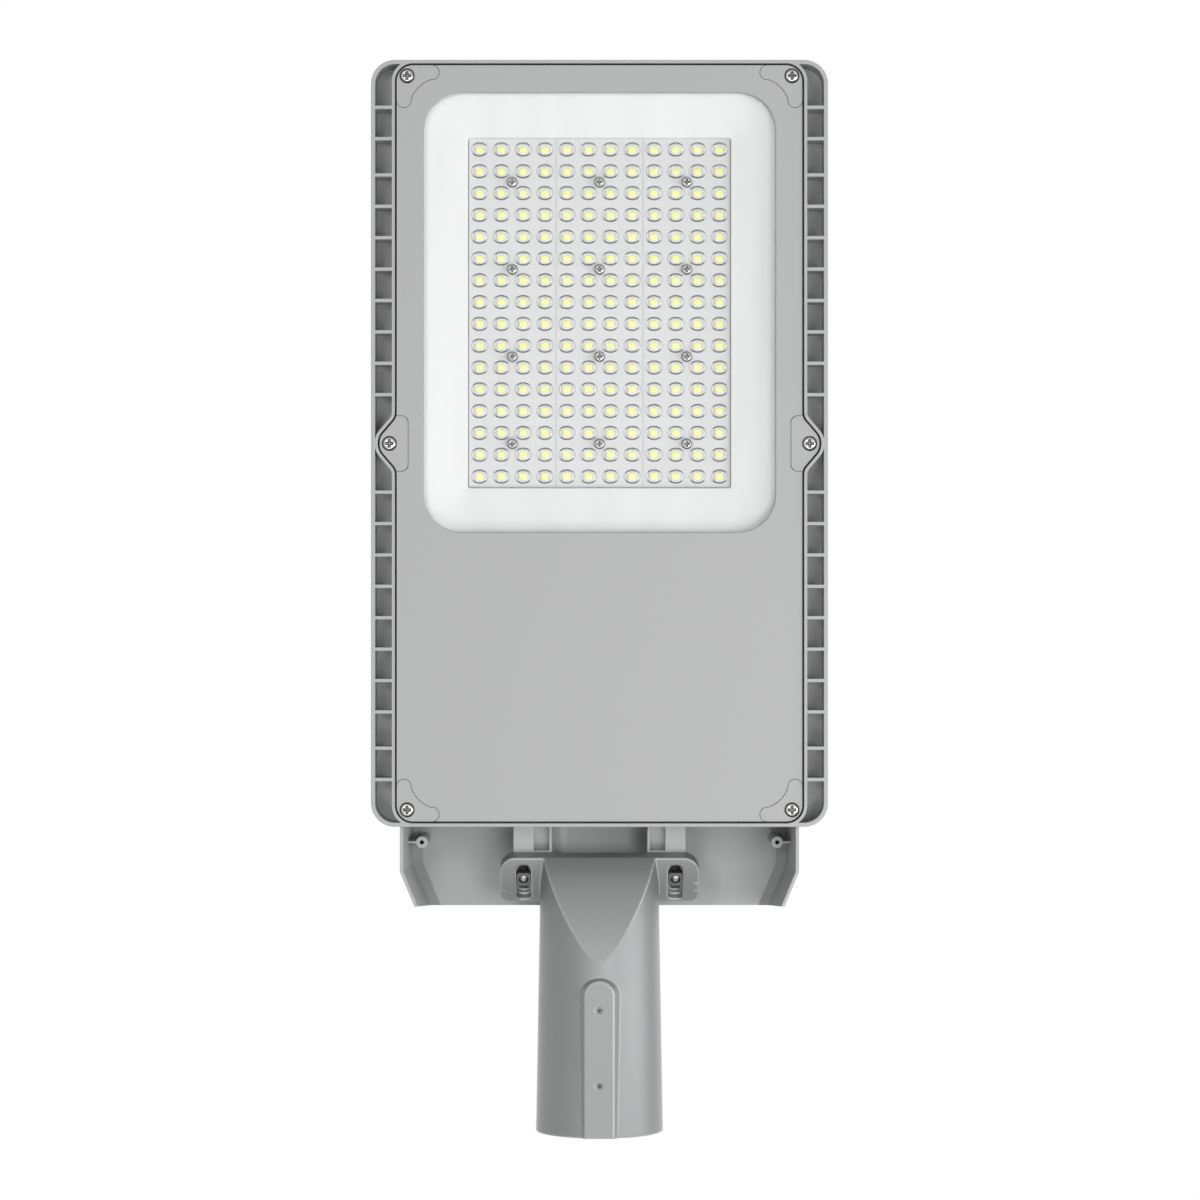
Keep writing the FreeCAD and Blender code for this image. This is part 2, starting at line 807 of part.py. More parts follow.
def pan_screw(x, y, seat_z, head_size, shank_size, recess):
    """Pan-head screw driven upwards, head below its seat, with a cross recess in the head."""
    head_radius, head_height = head_size
    shank_radius, length = shank_size
    recess_length, recess_width, recess_depth = recess
    face_z = seat_z - head_height
    head = cylinder_z(x, y, head_radius, face_z, seat_z)
    rim = [e for e in head.Edges if e.BoundBox.ZMax < face_z + 0.01]
    head = head.makeFillet(head_height * head_round_share, rim)
    screw = head.fuse(cylinder_z(x, y, shank_radius, seat_z, seat_z + length))
    heights = (face_z - 1.0, face_z + recess_depth)
    long_half = recess_length / 2
    short_half = recess_width / 2
    for half_x, half_y in ((long_half, short_half), (short_half, long_half)):
        screw = screw.cut(box(x - half_x, x + half_x, y - half_y, y + half_y, *heights))
    return screw


def make_cover_screws():
    head = (screw_head_radius, screw_head_height)
    shank = (screw_shank_radius, screw_length)
    recess = (screw_recess_length, screw_recess_width, screw_recess_depth)
    screws = [pan_screw(x, y, screw_seat_z, head, shank, recess) for x, y in screw_places()]
    return Part.makeCompound(screws)


def window_rectangle(grow):
    back = window_back - grow
    front = window_front + grow
    return rectangle(window_half_width + grow, back, front, window_radius + grow)


def make_glass():
    return plate(window_rectangle(glass_margin), glass_outer_z, glass_inner_z)


def make_glass_gasket():
    seal = plate(window_rectangle(glass_margin), cover_inner_z, glass_outer_z)
    return seal.cut(plate(window_rectangle(glass_seal_inset), cover_inner_z - 1.0, glass_outer_z + 1.0))


def led_rectangle(grow, radius):
    back = led_centre_y - array_half_length - grow
    front = led_centre_y + array_half_length + grow
    return rectangle(array_half_width + grow, back, front, radius)


def funnel(grow, z0, z1):
    """Sloped form from the window's edge up to the light engine's edge."""
    lower = rounded_wire(window_rectangle(grow), level(z0))
    upper = rounded_wire(led_rectangle(frame_opening_play + grow, frame_opening_radius + grow), level(z1))
    return Part.makeLoft([lower, upper], True, True)


def make_reflector_frame():
    lip = plate(window_rectangle(glass_margin - 1.0), glass_inner_z, glass_inner_z + frame_wall)
    outside = funnel(frame_wall, glass_inner_z + frame_wall, lens_face_z + frame_wall)
    collar = led_rectangle(frame_opening_play + frame_wall, frame_opening_radius + frame_wall)
    collar = plate(collar, lens_face_z, spreader_z)
    frame = lip.fuse([outside, collar])
    opening = led_rectangle(frame_opening_play, frame_opening_radius)
    opening = plate(opening, glass_inner_z, spreader_z + 1.0)
    inside = funnel(0.0, glass_inner_z, lens_face_z)
    room = 2 * led_lead_radius
    notches = [
        box(x - room, x + room, window_back, led_centre_y, board_z - room, spreader_z + 1.0)
        for x in strip_centres()
    ]
    mouth = plate(window_rectangle(0.0), glass_inner_z - 1.0, glass_inner_z)
    return frame.cut([opening, inside, mouth] + notches)


def strip_plate(centre_x, z0, z1):
    half = (strip_width - strip_gap) / 2
    back = led_centre_y - array_half_length
    front = led_centre_y + array_half_length
    return box(centre_x - half, centre_x + half, back, front, z0, z1)


def make_board(centre_x):
    board = strip_plate(centre_x, board_z, spreader_z)
    radius = lens_screw_shank_radius + hole_play
    places = lens_screw_places(centre_x)
    return board.cut([cylinder_z(x, y, radius, board_z - 1.0, spreader_z + 1.0) for x, y in places])


def make_leds(centre_x):
    half = led_size / 2
    heights = (board_z - led_height, board_z)
    places = led_places(centre_x)
    return Part.makeCompound([box(x - half, x + half, y - half, y + half, *heights) for x, y in places])


def lens_dome():
    """One lens: a faceted dome, wider across the head than along it."""
    shoulder_drop, shoulder_share = lens_shoulder
    shoulder_z = -shoulder_drop * lens_height
    levels = ((lens_sink, 1.0), (shoulder_z, shoulder_share), (-lens_height, lens_crown_share))
    rings = []
    for z, share in levels:
        half_x = share * lens_half_x
        half_y = share * lens_half_y
        turns = [2 * math.pi * (index % lens_sides) / lens_sides for index in range(lens_sides + 1)]
        points = [vector(half_x * math.cos(turn), half_y * math.sin(turn), z) for turn in turns]
        rings.append(Part.makePolygon(points))
    return Part.makeLoft(rings, True, True)


def make_lens_plate(centre_x):
    base = strip_plate(centre_x, lens_face_z, board_z)
    domes = []
    for x, y in led_places(centre_x):
        dome = lens_dome()
        dome.translate(vector(x, y, lens_face_z))
        domes.append(dome)
    lens = base.fuse(domes)
    half = led_pocket_width / 2
    heights = (board_z - led_pocket_depth, board_z + 1.0)
    cuts = [box(x - half, x + half, y - half, y + half, *heights) for x, y in led_places(centre_x)]
    ring_end = lens_face_z + lens_screw_ring_depth
    for x, y in lens_screw_places(centre_x):
        cuts.append(cylinder_z(x, y, lens_screw_shank_radius + hole_play, lens_face_z - 1.0, board_z + 1.0))
        cuts.append(cylinder_z(x, y, lens_screw_ring_radius, lens_face_z - 1.0, ring_end))
    return lens.cut(cuts)


def make_lens_screws():
    seat = lens_face_z + lens_screw_ring_depth
    head = (lens_screw_head_radius, lens_screw_head_height)
    shank = (lens_screw_shank_radius, lens_screw_length - lens_screw_ring_depth)
    recess = (lens_screw_recess_length, lens_screw_recess_width, lens_screw_recess_depth)
    screws = []
    for centre in strip_centres():
        screws += [pan_screw(x, y, seat, head, shank, recess) for x, y in lens_screw_places(centre)]
    return Part.makeCompound(screws)


def make_driver():
    half = driver_length / 2
    front = driver_back + driver_width
    case = box(-half, half, driver_back, front, driver_top_z - driver_height, driver_top_z)
    case = case.makeChamfer(driver_edge, [e for e in case.Edges if e.Length > driver_length - 1.0])
    tab_back = driver_back + driver_tab_inset
    tab_front = front - driver_tab_inset
    tab_z = driver_top_z - driver_tab_thickness
    tabs = box(-half - driver_tab, half + driver_tab, tab_back, tab_front, tab_z, driver_top_z)
    hole_y = driver_back + driver_width / 2
    holes = []
    for side in (-1, 1):
        x = side * (half + driver_tab / 2)
        holes.append(cylinder_z(x, hole_y, m4_radius + hole_play, tab_z - 1.0, driver_top_z + 1.0))
    return case.fuse(tabs).cut(holes)


def make_driver_screws():
    seat = driver_top_z - driver_tab_thickness
    head = (m4_head_radius, m4_head_height)
    shank = (m4_radius, m4_length)
    recess = (m4_recess_length, m4_recess_width, m4_recess_depth)
    y = driver_back + driver_width / 2
    places = [side * (driver_length + driver_tab) / 2 for side in (-1, 1)]
    return Part.makeCompound([pan_screw(x, y, seat, head, shank, recess) for x in places])


def make_surge_protector():
    right = surge_left + surge_length
    front = block_back + surge_width
    block = box(surge_left, right, block_back, front, ceiling_z - surge_height, ceiling_z)
    upright_edges = [e for e in block.Edges if e.BoundBox.ZLength > surge_height - 1.0]
    return block.makeFillet(surge_corner_radius, upright_edges)


def make_terminal_block():
    right = terminal_left + terminal_length
    front = block_back + terminal_width
    middle_y = block_back + terminal_width / 2
    bottom = ceiling_z - terminal_height
    entry_z = ceiling_z - terminal_height / 2
    entry_end = block_back + terminal_width / 3
    way = terminal_length / terminal_ways
    radius = terminal_screw_radius
    cuts = []
    for index in range(terminal_ways):
        x = terminal_left + (index + 0.5) * way
        cuts.append(cylinder_z(x, middle_y, radius, bottom - 1.0, bottom + terminal_screw_depth))
        cuts.append(cylinder_y(x, entry_z, radius, block_back - 1.0, entry_end))
    return box(terminal_left, right, block_back, front, bottom, ceiling_z).cut(cuts)


def make_input_lead():
    x = terminal_left + terminal_length / 2
    z = ceiling_z - terminal_height / 2
    return cylinder_y(x, z, input_lead_radius, block_back + terminal_width, driver_back)


def make_led_leads():
    """Leads from the driver to each board: out, down and forward, with tangent arcs."""
    start_y = driver_back + driver_width
    end_y = led_centre_y - array_half_length
    end_z = spreader_z - led_lead_radius - led_lead_play
    bend = (led_lead_drop_y - start_y) * lead_bend_share
    turn = bend * (1 - math.sqrt(0.5))
    along = vector(0, bend, 0)
    up = vector(0, 0, bend)
    leads = []
    for x in strip_centres():
        start = vector(x, start_y, led_lead_start_z)
        top = vector(x, led_lead_drop_y, led_lead_start_z)
        bottom = vector(x, led_lead_drop_y, end_z)
        path = Part.Wire(
            [
                Part.makeLine(start, top - along),
                Part.Arc(top - along, top - vector(0, turn, turn), top - up).toShape(),
                Part.makeLine(top - up, bottom + up),
                Part.Arc(bottom + up, bottom + vector(0, turn, turn), bottom + along).toShape(),
                Part.makeLine(bottom + along, vector(x, end_y, end_z)),
            ]
        )
        section = Part.Wire([Part.makeCircle(led_lead_radius, start, vector(0, 1, 0))])
        leads.append(path.makePipeShell([section], True, False))
    return Part.makeCompound(leads)


def make_cable_gland():
    """Gland screwed into the rear wall from the bay side."""
    thread = cylinder_y(0, gland_z, gland_thread_radius, head_back + 0.5, bay_back)
    flange_end = bay_back + gland_flange_thickness
    seat = vector(0, bay_back, gland_z)
    flange = hexagon(seat, vector(0, 1, 0), 2 * gland_flange_radius, gland_flange_thickness)
    dome_end = flange_end + gland_dome_length
    dome = cylinder_y(0, gland_z, gland_dome_radius, flange_end, dome_end)
    dome = dome.makeFillet(gland_dome_edge, [e for e in dome.Edges if e.BoundBox.YMin > dome_end - 0.01])
    bore = cylinder_y(0, gland_z, gland_bore_radius, head_back - 1.0, dome_end + 1.0)
    return thread.fuse([flange, dome]).cut(bore)


def make_earth_screw():
    seat = vector(earth_screw_x, bay_back, earth_screw_z)
    head = hexagon(seat, vector(0, 1, 0), 2 * earth_head_radius, earth_head_height)
    shank_end = bay_back - earth_length + hole_play
    return head.fuse(cylinder_y(earth_screw_x, earth_screw_z, m4_radius, shank_end, bay_back))


def tube_radius(y):
    return mouth_radius - y * math.tan(math.radians(tube_draft))


def scoop_disc(radius):
    """Round form across the head whose underside is the slope below the flange."""
    turn = math.radians(scoop_rise_angle)
    tip_z = -tube_radius(scoop_tip_y)
    centre_y = scoop_tip_y - scoop_radius * math.sin(turn)
    centre_z = tip_z + scoop_radius * math.cos(turn)
    return centre_y, centre_z, cylinder_x(centre_y, centre_z, radius, -far / 2, far / 2)


def raised_strip():
    """Raised strip for the set screws, with drafted sides and a round end."""
    wires = []
    base_z = -tube_radius(strip_apex_y) + strip_base_depth
    for half, z in ((strip_base_half_width, base_z), (strip_half_width, strip_face_z)):
        centre_y = strip_apex_y - strip_base_half_width
        place = level(z)
        edges = [
            Part.makeLine(place(-half, 0), place(half, 0)),
            Part.makeLine(place(half, 0), place(half, centre_y)),
            Part.Arc(place(half, centre_y), place(0, centre_y + half), place(-half, centre_y)).toShape(),
            Part.makeLine(place(-half, centre_y), place(-half, 0)),
        ]
        wires.append(Part.Wire(edges))
    return Part.makeLoft(wires, True, True)


def flange_ticks():
    """Short raised marks at the outer ends of the flange that show the tilt."""
    half_angle = math.degrees(tick_width / 2 / flange_outer_radius)
    radii = (flange_outer_radius - 0.5, flange_outer_radius + tick_height)
    ticks = []
    for side, angles in ((-1, tick_angles_left), (1, tick_angles_right)):
        for angle in angles:
            end = flange_half_width - tick_inset
            ends = sorted((side * end, side * (end - tick_length)))
            ticks.append(sector(*radii, *ends, angle - half_angle, angle + half_angle))
    return ticks


def make_spigot_adapter():
    tube_end = tilt_y
    tube = Part.makeCone(mouth_radius, tube_radius(tube_end), tube_end, vector(0, 0, 0), vector(0, 1, 0))
    centre_y, centre_z, disc = scoop_disc(scoop_radius)
    below = box(-far / 2, far / 2, centre_y, far, -far, 0).cut(disc)
    ahead = sector(0.5, far / 2, -far / 2, far / 2, flange_head_angle - 100.0, flange_head_angle)
    ears = rounded_sector(
        (flange_inner_radius, flange_outer_radius),
        (-flange_half_width, flange_half_width),
        (flange_head_angle, flange_mouth_angle),
        (flange_head_corner, flange_mouth_corner),
    )
    inner = tube_radius(shroud_back) - 0.5
    radii = (flange_inner_radius, flange_outer_radius)
    back = sector(*radii, -inner, inner, flange_mouth_angle - 1.0, flange_top_angle)
    flange = ears.fuse(back).cut(below)
    body = tube.cut([below, ahead]).fuse([flange, raised_strip()] + flange_ticks())
    bore = cylinder_y(0, 0, bore_radius, -1.0, bore_depth)
    passage = cylinder_y(0, 0, passage_radius, bore_depth - 1.0, tilt_y)
    passage = passage.common(scoop_disc(scoop_radius - scoop_wall)[2])
    drum_space = cylinder_x(tilt_y, tilt_z, flange_inner_radius, -far / 2, far / 2)
    cuts = [bore, passage, drum_space]
    bolt_reach = math.degrees((bolt_radius + bolt_play) / flange_inner_radius)
    travel = (bolt_angle - tilt_up - bolt_reach, bolt_angle + tilt_down + bolt_reach)
    step_radii = (slot_floor_radius, flange_outer_radius + 2.0)
    through_radii = (flange_inner_radius - 2.0, slot_floor_radius + 0.5)
    slot_angles = (slot_head_angle, slot_mouth_angle)
    for side in (-1, 1):
        x = side * bolt_x
        for radii, half, angles, corner in (
            (step_radii, slot_width / 2, slot_angles, slot_corner),
            (through_radii, bolt_radius + bolt_play, travel, bolt_radius),
        ):
            cuts.append(rounded_sector(radii, (x - half, x + half), angles, (corner, corner)))
    thread_radius = set_screw_radius + thread_play
    for y in set_screw_places:
        cuts.append(cylinder_z(0, y, thread_radius, strip_face_z - 1.0, 1.0 - bore_radius))
    return body.cut(cuts)


def make_tilt_bolt(side):
    """Socket-head bolt from the top of the housing into the slot nut."""
    x = side * bolt_x
    seat = bolt_seat_radius - washer_thickness
    tip = flange_outer_radius - bolt_tip_inset
    shank = bolt_cylinder(x, bolt_radius, seat, tip)
    end = vector(x, tilt_y, tilt_z) + bolt_direction() * tip
    rim = [edge for edge in shank.Edges if (edge.BoundBox.Center - end).Length < 0.5]
    shank = shank.makeChamfer(bolt_tip_chamfer, rim)
    head = bolt_cylinder(x, bolt_head_radius, seat - bolt_head_height, seat)
    top = vector(x, tilt_y, tilt_z) + bolt_direction() * (seat - bolt_head_height - 1.0)
    return head.fuse(shank).cut(hexagon(top, bolt_direction(), bolt_socket_width, bolt_socket_depth + 1.0))


def make_tilt_washer(side):
    x = side * bolt_x
    ring = bolt_cylinder(x, bolt_head_radius + 0.1, bolt_seat_radius - washer_thickness, bolt_seat_radius)
    below = bolt_seat_radius - washer_thickness - 1.0
    return ring.cut(bolt_cylinder(x, bolt_radius + thread_play, below, bolt_seat_radius + 1.0))


def make_tilt_nut(side):
    """Rectangular slot nut that bears on the slot's step."""
    x = side * bolt_x
    half_width = nut_width / 2
    half_length = nut_length / 2
    nut = plate(rectangle(half_width, -half_length, half_length, nut_corner), 0.0, nut_height)
    nut = nut.cut(cylinder_z(0, 0, bolt_radius + thread_play, -1.0, nut_height + 1.0))
    nut = nut.mirror(vector(0, 0, nut_height / 2), vector(0, 0, 1))
    base = vector(x, tilt_y, tilt_z) + bolt_direction() * nut_floor_radius
    turn = FreeCAD.Rotation(vector(1, 0, 0), 180.0 - bolt_angle)
    nut.Placement = FreeCAD.Placement(base, turn)
    return nut


def make_set_screw(y):
    face_z = strip_face_z + set_screw_inset
    screw = cylinder_z(0, y, set_screw_radius, face_z, face_z + set_screw_length)
    below = vector(0, y, face_z - 1.0)
    return screw.cut(hexagon(below, vector(0, 0, 1), set_screw_socket, set_screw_socket_depth + 1.0))


def build_pieces():
    pieces = {
        "housing": make_housing(),
        "cover_plate": make_cover_plate(),
        "cover_gasket": make_cover_gasket(),
        "cover_screws": make_cover_screws(),
        "window_glass": make_glass(),
        "glass_gasket": make_glass_gasket(),
        "reflector_frame": make_reflector_frame(),
        "lens_screws": make_lens_screws(),
        "driver": make_driver(),
        "driver_screws": make_driver_screws(),
        "surge_protector": make_surge_protector(),
        "terminal_block": make_terminal_block(),
        "input_lead": make_input_lead(),
        "led_leads": make_led_leads(),
        "cable_gland": make_cable_gland(),
        "earth_screw": make_earth_screw(),
        "spigot_adapter": make_spigot_adapter(),
        "set_screw_upper": make_set_screw(set_screw_places[0]),
        "set_screw_lower": make_set_screw(set_screw_places[1]),
    }
    pieces.update(make_clamps())
    for name, centre in zip(("left", "middle", "right"), strip_centres()):
        pieces["led_board_" + name] = make_board(centre)
        pieces["leds_" + name] = make_leds(centre)
        pieces["lens_plate_" + name] = make_lens_plate(centre)
    for name, side in (("left", -1), ("right", 1)):
        pieces["tilt_bolt_" + name] = make_tilt_bolt(side)
        pieces["tilt_washer_" + name] = make_tilt_washer(side)
        pieces["tilt_nut_" + name] = make_tilt_nut(side)
    return pieces


os.makedirs("parts", exist_ok=True)
for name, shape in build_pieces().items():
    shape.exportStep(os.path.join("parts", name + ".step"))
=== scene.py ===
import math

import bpy
import bmesh
import numpy as np
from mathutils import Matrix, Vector


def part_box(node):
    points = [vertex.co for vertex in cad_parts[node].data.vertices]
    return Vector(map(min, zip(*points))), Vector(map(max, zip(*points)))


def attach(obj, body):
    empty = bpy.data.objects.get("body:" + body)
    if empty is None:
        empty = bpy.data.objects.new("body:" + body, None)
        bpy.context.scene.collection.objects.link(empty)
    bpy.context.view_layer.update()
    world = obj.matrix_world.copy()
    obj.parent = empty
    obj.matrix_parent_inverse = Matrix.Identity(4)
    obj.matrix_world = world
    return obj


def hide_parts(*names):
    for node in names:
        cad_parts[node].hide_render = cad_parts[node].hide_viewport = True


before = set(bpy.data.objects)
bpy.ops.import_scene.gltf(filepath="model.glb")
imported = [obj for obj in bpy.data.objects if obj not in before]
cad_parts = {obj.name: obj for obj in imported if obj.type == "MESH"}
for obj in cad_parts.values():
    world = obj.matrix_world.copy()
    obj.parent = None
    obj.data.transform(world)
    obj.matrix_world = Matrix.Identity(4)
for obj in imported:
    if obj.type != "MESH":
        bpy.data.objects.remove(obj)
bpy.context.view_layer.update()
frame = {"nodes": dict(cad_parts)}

bl_info = {
    "name": "Street light head",
    "version": (1, 0, 0),
    "blender": (4, 5, 0),
    "location": "View3D > Sidebar > Street light",
    "description": "Dresses an LED street light head: lenses, LEDs, screws, finishes, studio and camera",
    "category": "Object",
}

MM = 0.001
STRIPS = ("left", "middle", "right")
WHITE = (1.0, 1.0, 1.0, 1.0)

LENS_ROWS = 4
LENS_COLUMNS = 16
LENS_STEPS = 24
LENS_TILTS = np.radians([0.5, 20.0, 40.0, 58.0, 73.0, 84.0, 90.0])
POCKET_TILTS = np.radians([1, 18, 36, 54, 72, 90])
LENS_SEAT = 0.05 * MM
LENS_FACE = 3.2 * MM

LED_STEPS = 16
LED_THICKNESS = 0.6 * MM
LED_BEVEL = 0.1 * MM
CAP_TILTS = np.radians([20.0, 45.0, 68.0, 90.0])
CAP_RISE = 0.35 * MM
CAP_SEAT = 0.2 * MM

COVER_SCREW_SEAT = 1.4 * MM
CLAMP_SCREW_INSET = 6.1 * MM
SIDE_SCREW_INSET = 5.8 * MM
REAR_SCREW_INSET = 6.9 * MM
FRONT_SCREW_INSET = 6.2 * MM
LENS_SCREW_SEAT = 2.6 * MM
LENS_SCREW_SPACING = 52.0 * MM

RING_INNER = (0.81, 0.88)
RING_OUTER = (1.03, 1.09)
RING_DEPTH = 0.97


# ---- settings that a user would change


class StreetLightLenses(bpy.types.PropertyGroup):
    """Sizes of the lens domes and of the LEDs behind them"""

    pitch: bpy.props.FloatProperty(
        name="Pitch",
        description="Distance between neighbouring lenses",
        default=13.0 * MM, unit="LENGTH",
    )
    half_x: bpy.props.FloatProperty(
        name="Half width",
        description="Half of a dome's width across the head",
        default=5.05 * MM, unit="LENGTH",
    )
    half_y: bpy.props.FloatProperty(
        name="Half length",
        description="Half of a dome's length along the head",
        default=4.05 * MM, unit="LENGTH",
    )
    height: bpy.props.FloatProperty(
        name="Height",
        description="How far a dome stands out of its plate",
        default=3.2 * MM, unit="LENGTH",
    )
    pocket_radius: bpy.props.FloatProperty(
        name="Pocket radius",
        description="Radius of the hollow over each LED",
        default=2.9 * MM, unit="LENGTH",
    )
    pocket_depth: bpy.props.FloatProperty(
        name="Pocket depth",
        description="Depth of the hollow over each LED",
        default=1.4 * MM, unit="LENGTH",
    )
    led_width: bpy.props.FloatProperty(
        name="LED width",
        description="Side of the square LED package",
        default=4.8 * MM, unit="LENGTH",
    )
    phosphor_radius: bpy.props.FloatProperty(
        name="Phosphor radius",
        description="Radius of the LED's yellow cap",
        default=2.2 * MM, unit="LENGTH",
    )
    phosphor_squash: bpy.props.FloatProperty(
        name="Phosphor squash", description="Length of the yellow cap over its width", default=0.92
    )


class StreetLightColours(bpy.types.PropertyGroup):
    """Colours of the finishes"""

    housing: bpy.props.FloatVectorProperty(
        name="Housing",
        description="Powder coat of the castings",
        default=(0.425, 0.429, 0.432), subtype="COLOR",
    )
    adapter: bpy.props.FloatVectorProperty(
        name="Adapter",
        description="Powder coat of the spigot adapter",
        default=(0.26, 0.263, 0.265), subtype="COLOR",
    )
    cover: bpy.props.FloatVectorProperty(
        name="Cover",
        description="Paint of the cover and its clamp plates",
        default=(0.447, 0.449, 0.452), subtype="COLOR",
    )
    frame: bpy.props.FloatVectorProperty(
        name="Frame",
        description="White frame behind the glass",
        default=(0.86, 0.86, 0.865), subtype="COLOR",
    )
    board: bpy.props.FloatVectorProperty(
        name="Board",
        description="Solder mask of the LED boards",
        default=(0.74, 0.74, 0.745), subtype="COLOR",
    )
    phosphor: bpy.props.FloatVectorProperty(
        name="Phosphor", description="Cap of each LED", default=(1.0, 1.0, 0.3), subtype="COLOR"
    )
    screw: bpy.props.FloatVectorProperty(
        name="Screws",
        description="Bright steel of the cover and lens screws",
        default=(0.5, 0.5, 0.49), subtype="COLOR",
    )
    steel: bpy.props.FloatVectorProperty(
        name="Steel",
        description="Bolts, washers and inner screws",
        default=(0.5, 0.5, 0.49), subtype="COLOR",
    )
    dark_steel: bpy.props.FloatVectorProperty(
        name="Dark steel",
        description="Slot nuts and set screws",
        default=(0.16, 0.16, 0.16), subtype="COLOR",
    )


class StreetLightStudio(bpy.types.PropertyGroup):
    """Light and camera"""

    key: bpy.props.FloatProperty(
        name="Key light",
        description="Power of the lamp below the head",
        default=12.0, unit="POWER",
    )
    fill: bpy.props.FloatProperty(
        name="Fill light",
        description="Power of the lamp on the other side",
        default=8.5, unit="POWER",
    )
    front: bpy.props.FloatProperty(
        name="Front light",
        description="Power of the lamp beyond the socket",
        default=8.0, unit="POWER",
    )
    side: bpy.props.FloatProperty(
        name="Side light",
        description="Power of the narrow lamp to one side",
        default=13.0, unit="POWER",
    )
    top: bpy.props.FloatProperty(
        name="Top light",
        description="Power of the lamp above the head",
        default=28.0, unit="POWER",
    )
    far_side: bpy.props.FloatProperty(
        name="Far side light",
        description="Power of the wide lamp above the other side",
        default=5.0, unit="POWER",
    )
    paper_glow: bpy.props.FloatProperty(
        name="Paper glow",
        description="Brightness that the floor shows of its own",
        default=0.45, min=0.0, max=1.0,
    )
    ambient: bpy.props.FloatProperty(
        name="Ambient",
        description="Light from all round",
        default=0.31, min=0.0,
    )
    lens: bpy.props.FloatProperty(
        name="Lens",
        description="Focal length of the camera",
        default=111.4 * MM, unit="CAMERA", subtype="DISTANCE_CAMERA",
    )
    distance: bpy.props.FloatProperty(
        name="Distance", description="Camera's depth below the rim", default=2.2, unit="LENGTH"
    )


# ---- meshes


def grid_quads(rows, columns, closed=False):
    """Quads of a grid of points stored row by row; a closed grid joins its last column to its first."""
    across = columns if closed else columns - 1
    row, column = np.meshgrid(np.arange(rows - 1), np.arange(across), indexing="ij")
    here = row * columns + column
    beside = row * columns + (column + 1) % columns
    return np.stack([here, beside, beside + columns, here + columns], axis=-1).reshape(-1, 4)


def tiled(points, quads, places):
    """Copies of one small surface at many places: every point plus every place, quads renumbered to match."""
    count = len(points)
    all_points = (places[:, None, :] + points[None, :, :]).reshape(-1, 3)
    all_quads = (np.arange(len(places))[:, None, None] * count + quads[None, :, :]).reshape(-1, 4)
    return all_points, all_quads


def piece(name, points, quads, body, finish, merge=0.0, sharp=35.0, shade=None):
    """A mesh object at the origin from arrays of points and quads, with its doubles merged."""
    mesh = bpy.data.meshes.new(name)
    mesh.from_pydata(points.tolist(), [], quads.tolist())
    if shade is not None:
        mesh.attributes.new("shade", "FLOAT", "POINT").data.foreach_set("value", shade)
    if merge:
        work = bmesh.new()
        work.from_mesh(mesh)
        bmesh.ops.remove_doubles(work, verts=work.verts, dist=merge)
        bmesh.ops.dissolve_degenerate(work, edges=work.edges, dist=merge / 2)
        bmesh.ops.recalc_face_normals(work, faces=work.faces)
        work.to_mesh(mesh)
        work.free()
    mesh.update()
    mesh.set_sharp_from_angle(angle=math.radians(sharp))
    mesh.polygons.foreach_set("use_smooth", np.ones(len(mesh.polygons), bool))
    made = bpy.data.objects.new(name, mesh)
    bpy.context.scene.collection.objects.link(made)
    made.data.materials.append(finish)
    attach(made, body)
    return made


def square_ring(angles, half):
    """Points where rays meet a square: (cos, sin) over the larger of the two, times half a side."""
    along = np.stack([np.cos(angles), np.sin(angles)], axis=-1)
    return half * along / np.abs(along).max(axis=1, keepdims=True)


def led_centres(strip, pitch):
    """Centres of the four by sixteen lenses of one strip, as rows of x, y, 0."""
    low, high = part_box("led_board_" + strip)
    middle = (low + high) / 2
    x = middle.x + (np.arange(LENS_ROWS) - (LENS_ROWS - 1) / 2) * pitch
    y = middle.y + (np.arange(LENS_COLUMNS) - (LENS_COLUMNS - 1) / 2) * pitch
    xs, ys = np.meshgrid(x, y, indexing="ij")
    return np.stack([xs.ravel(), ys.ravel(), np.zeros(xs.size)], axis=-1)


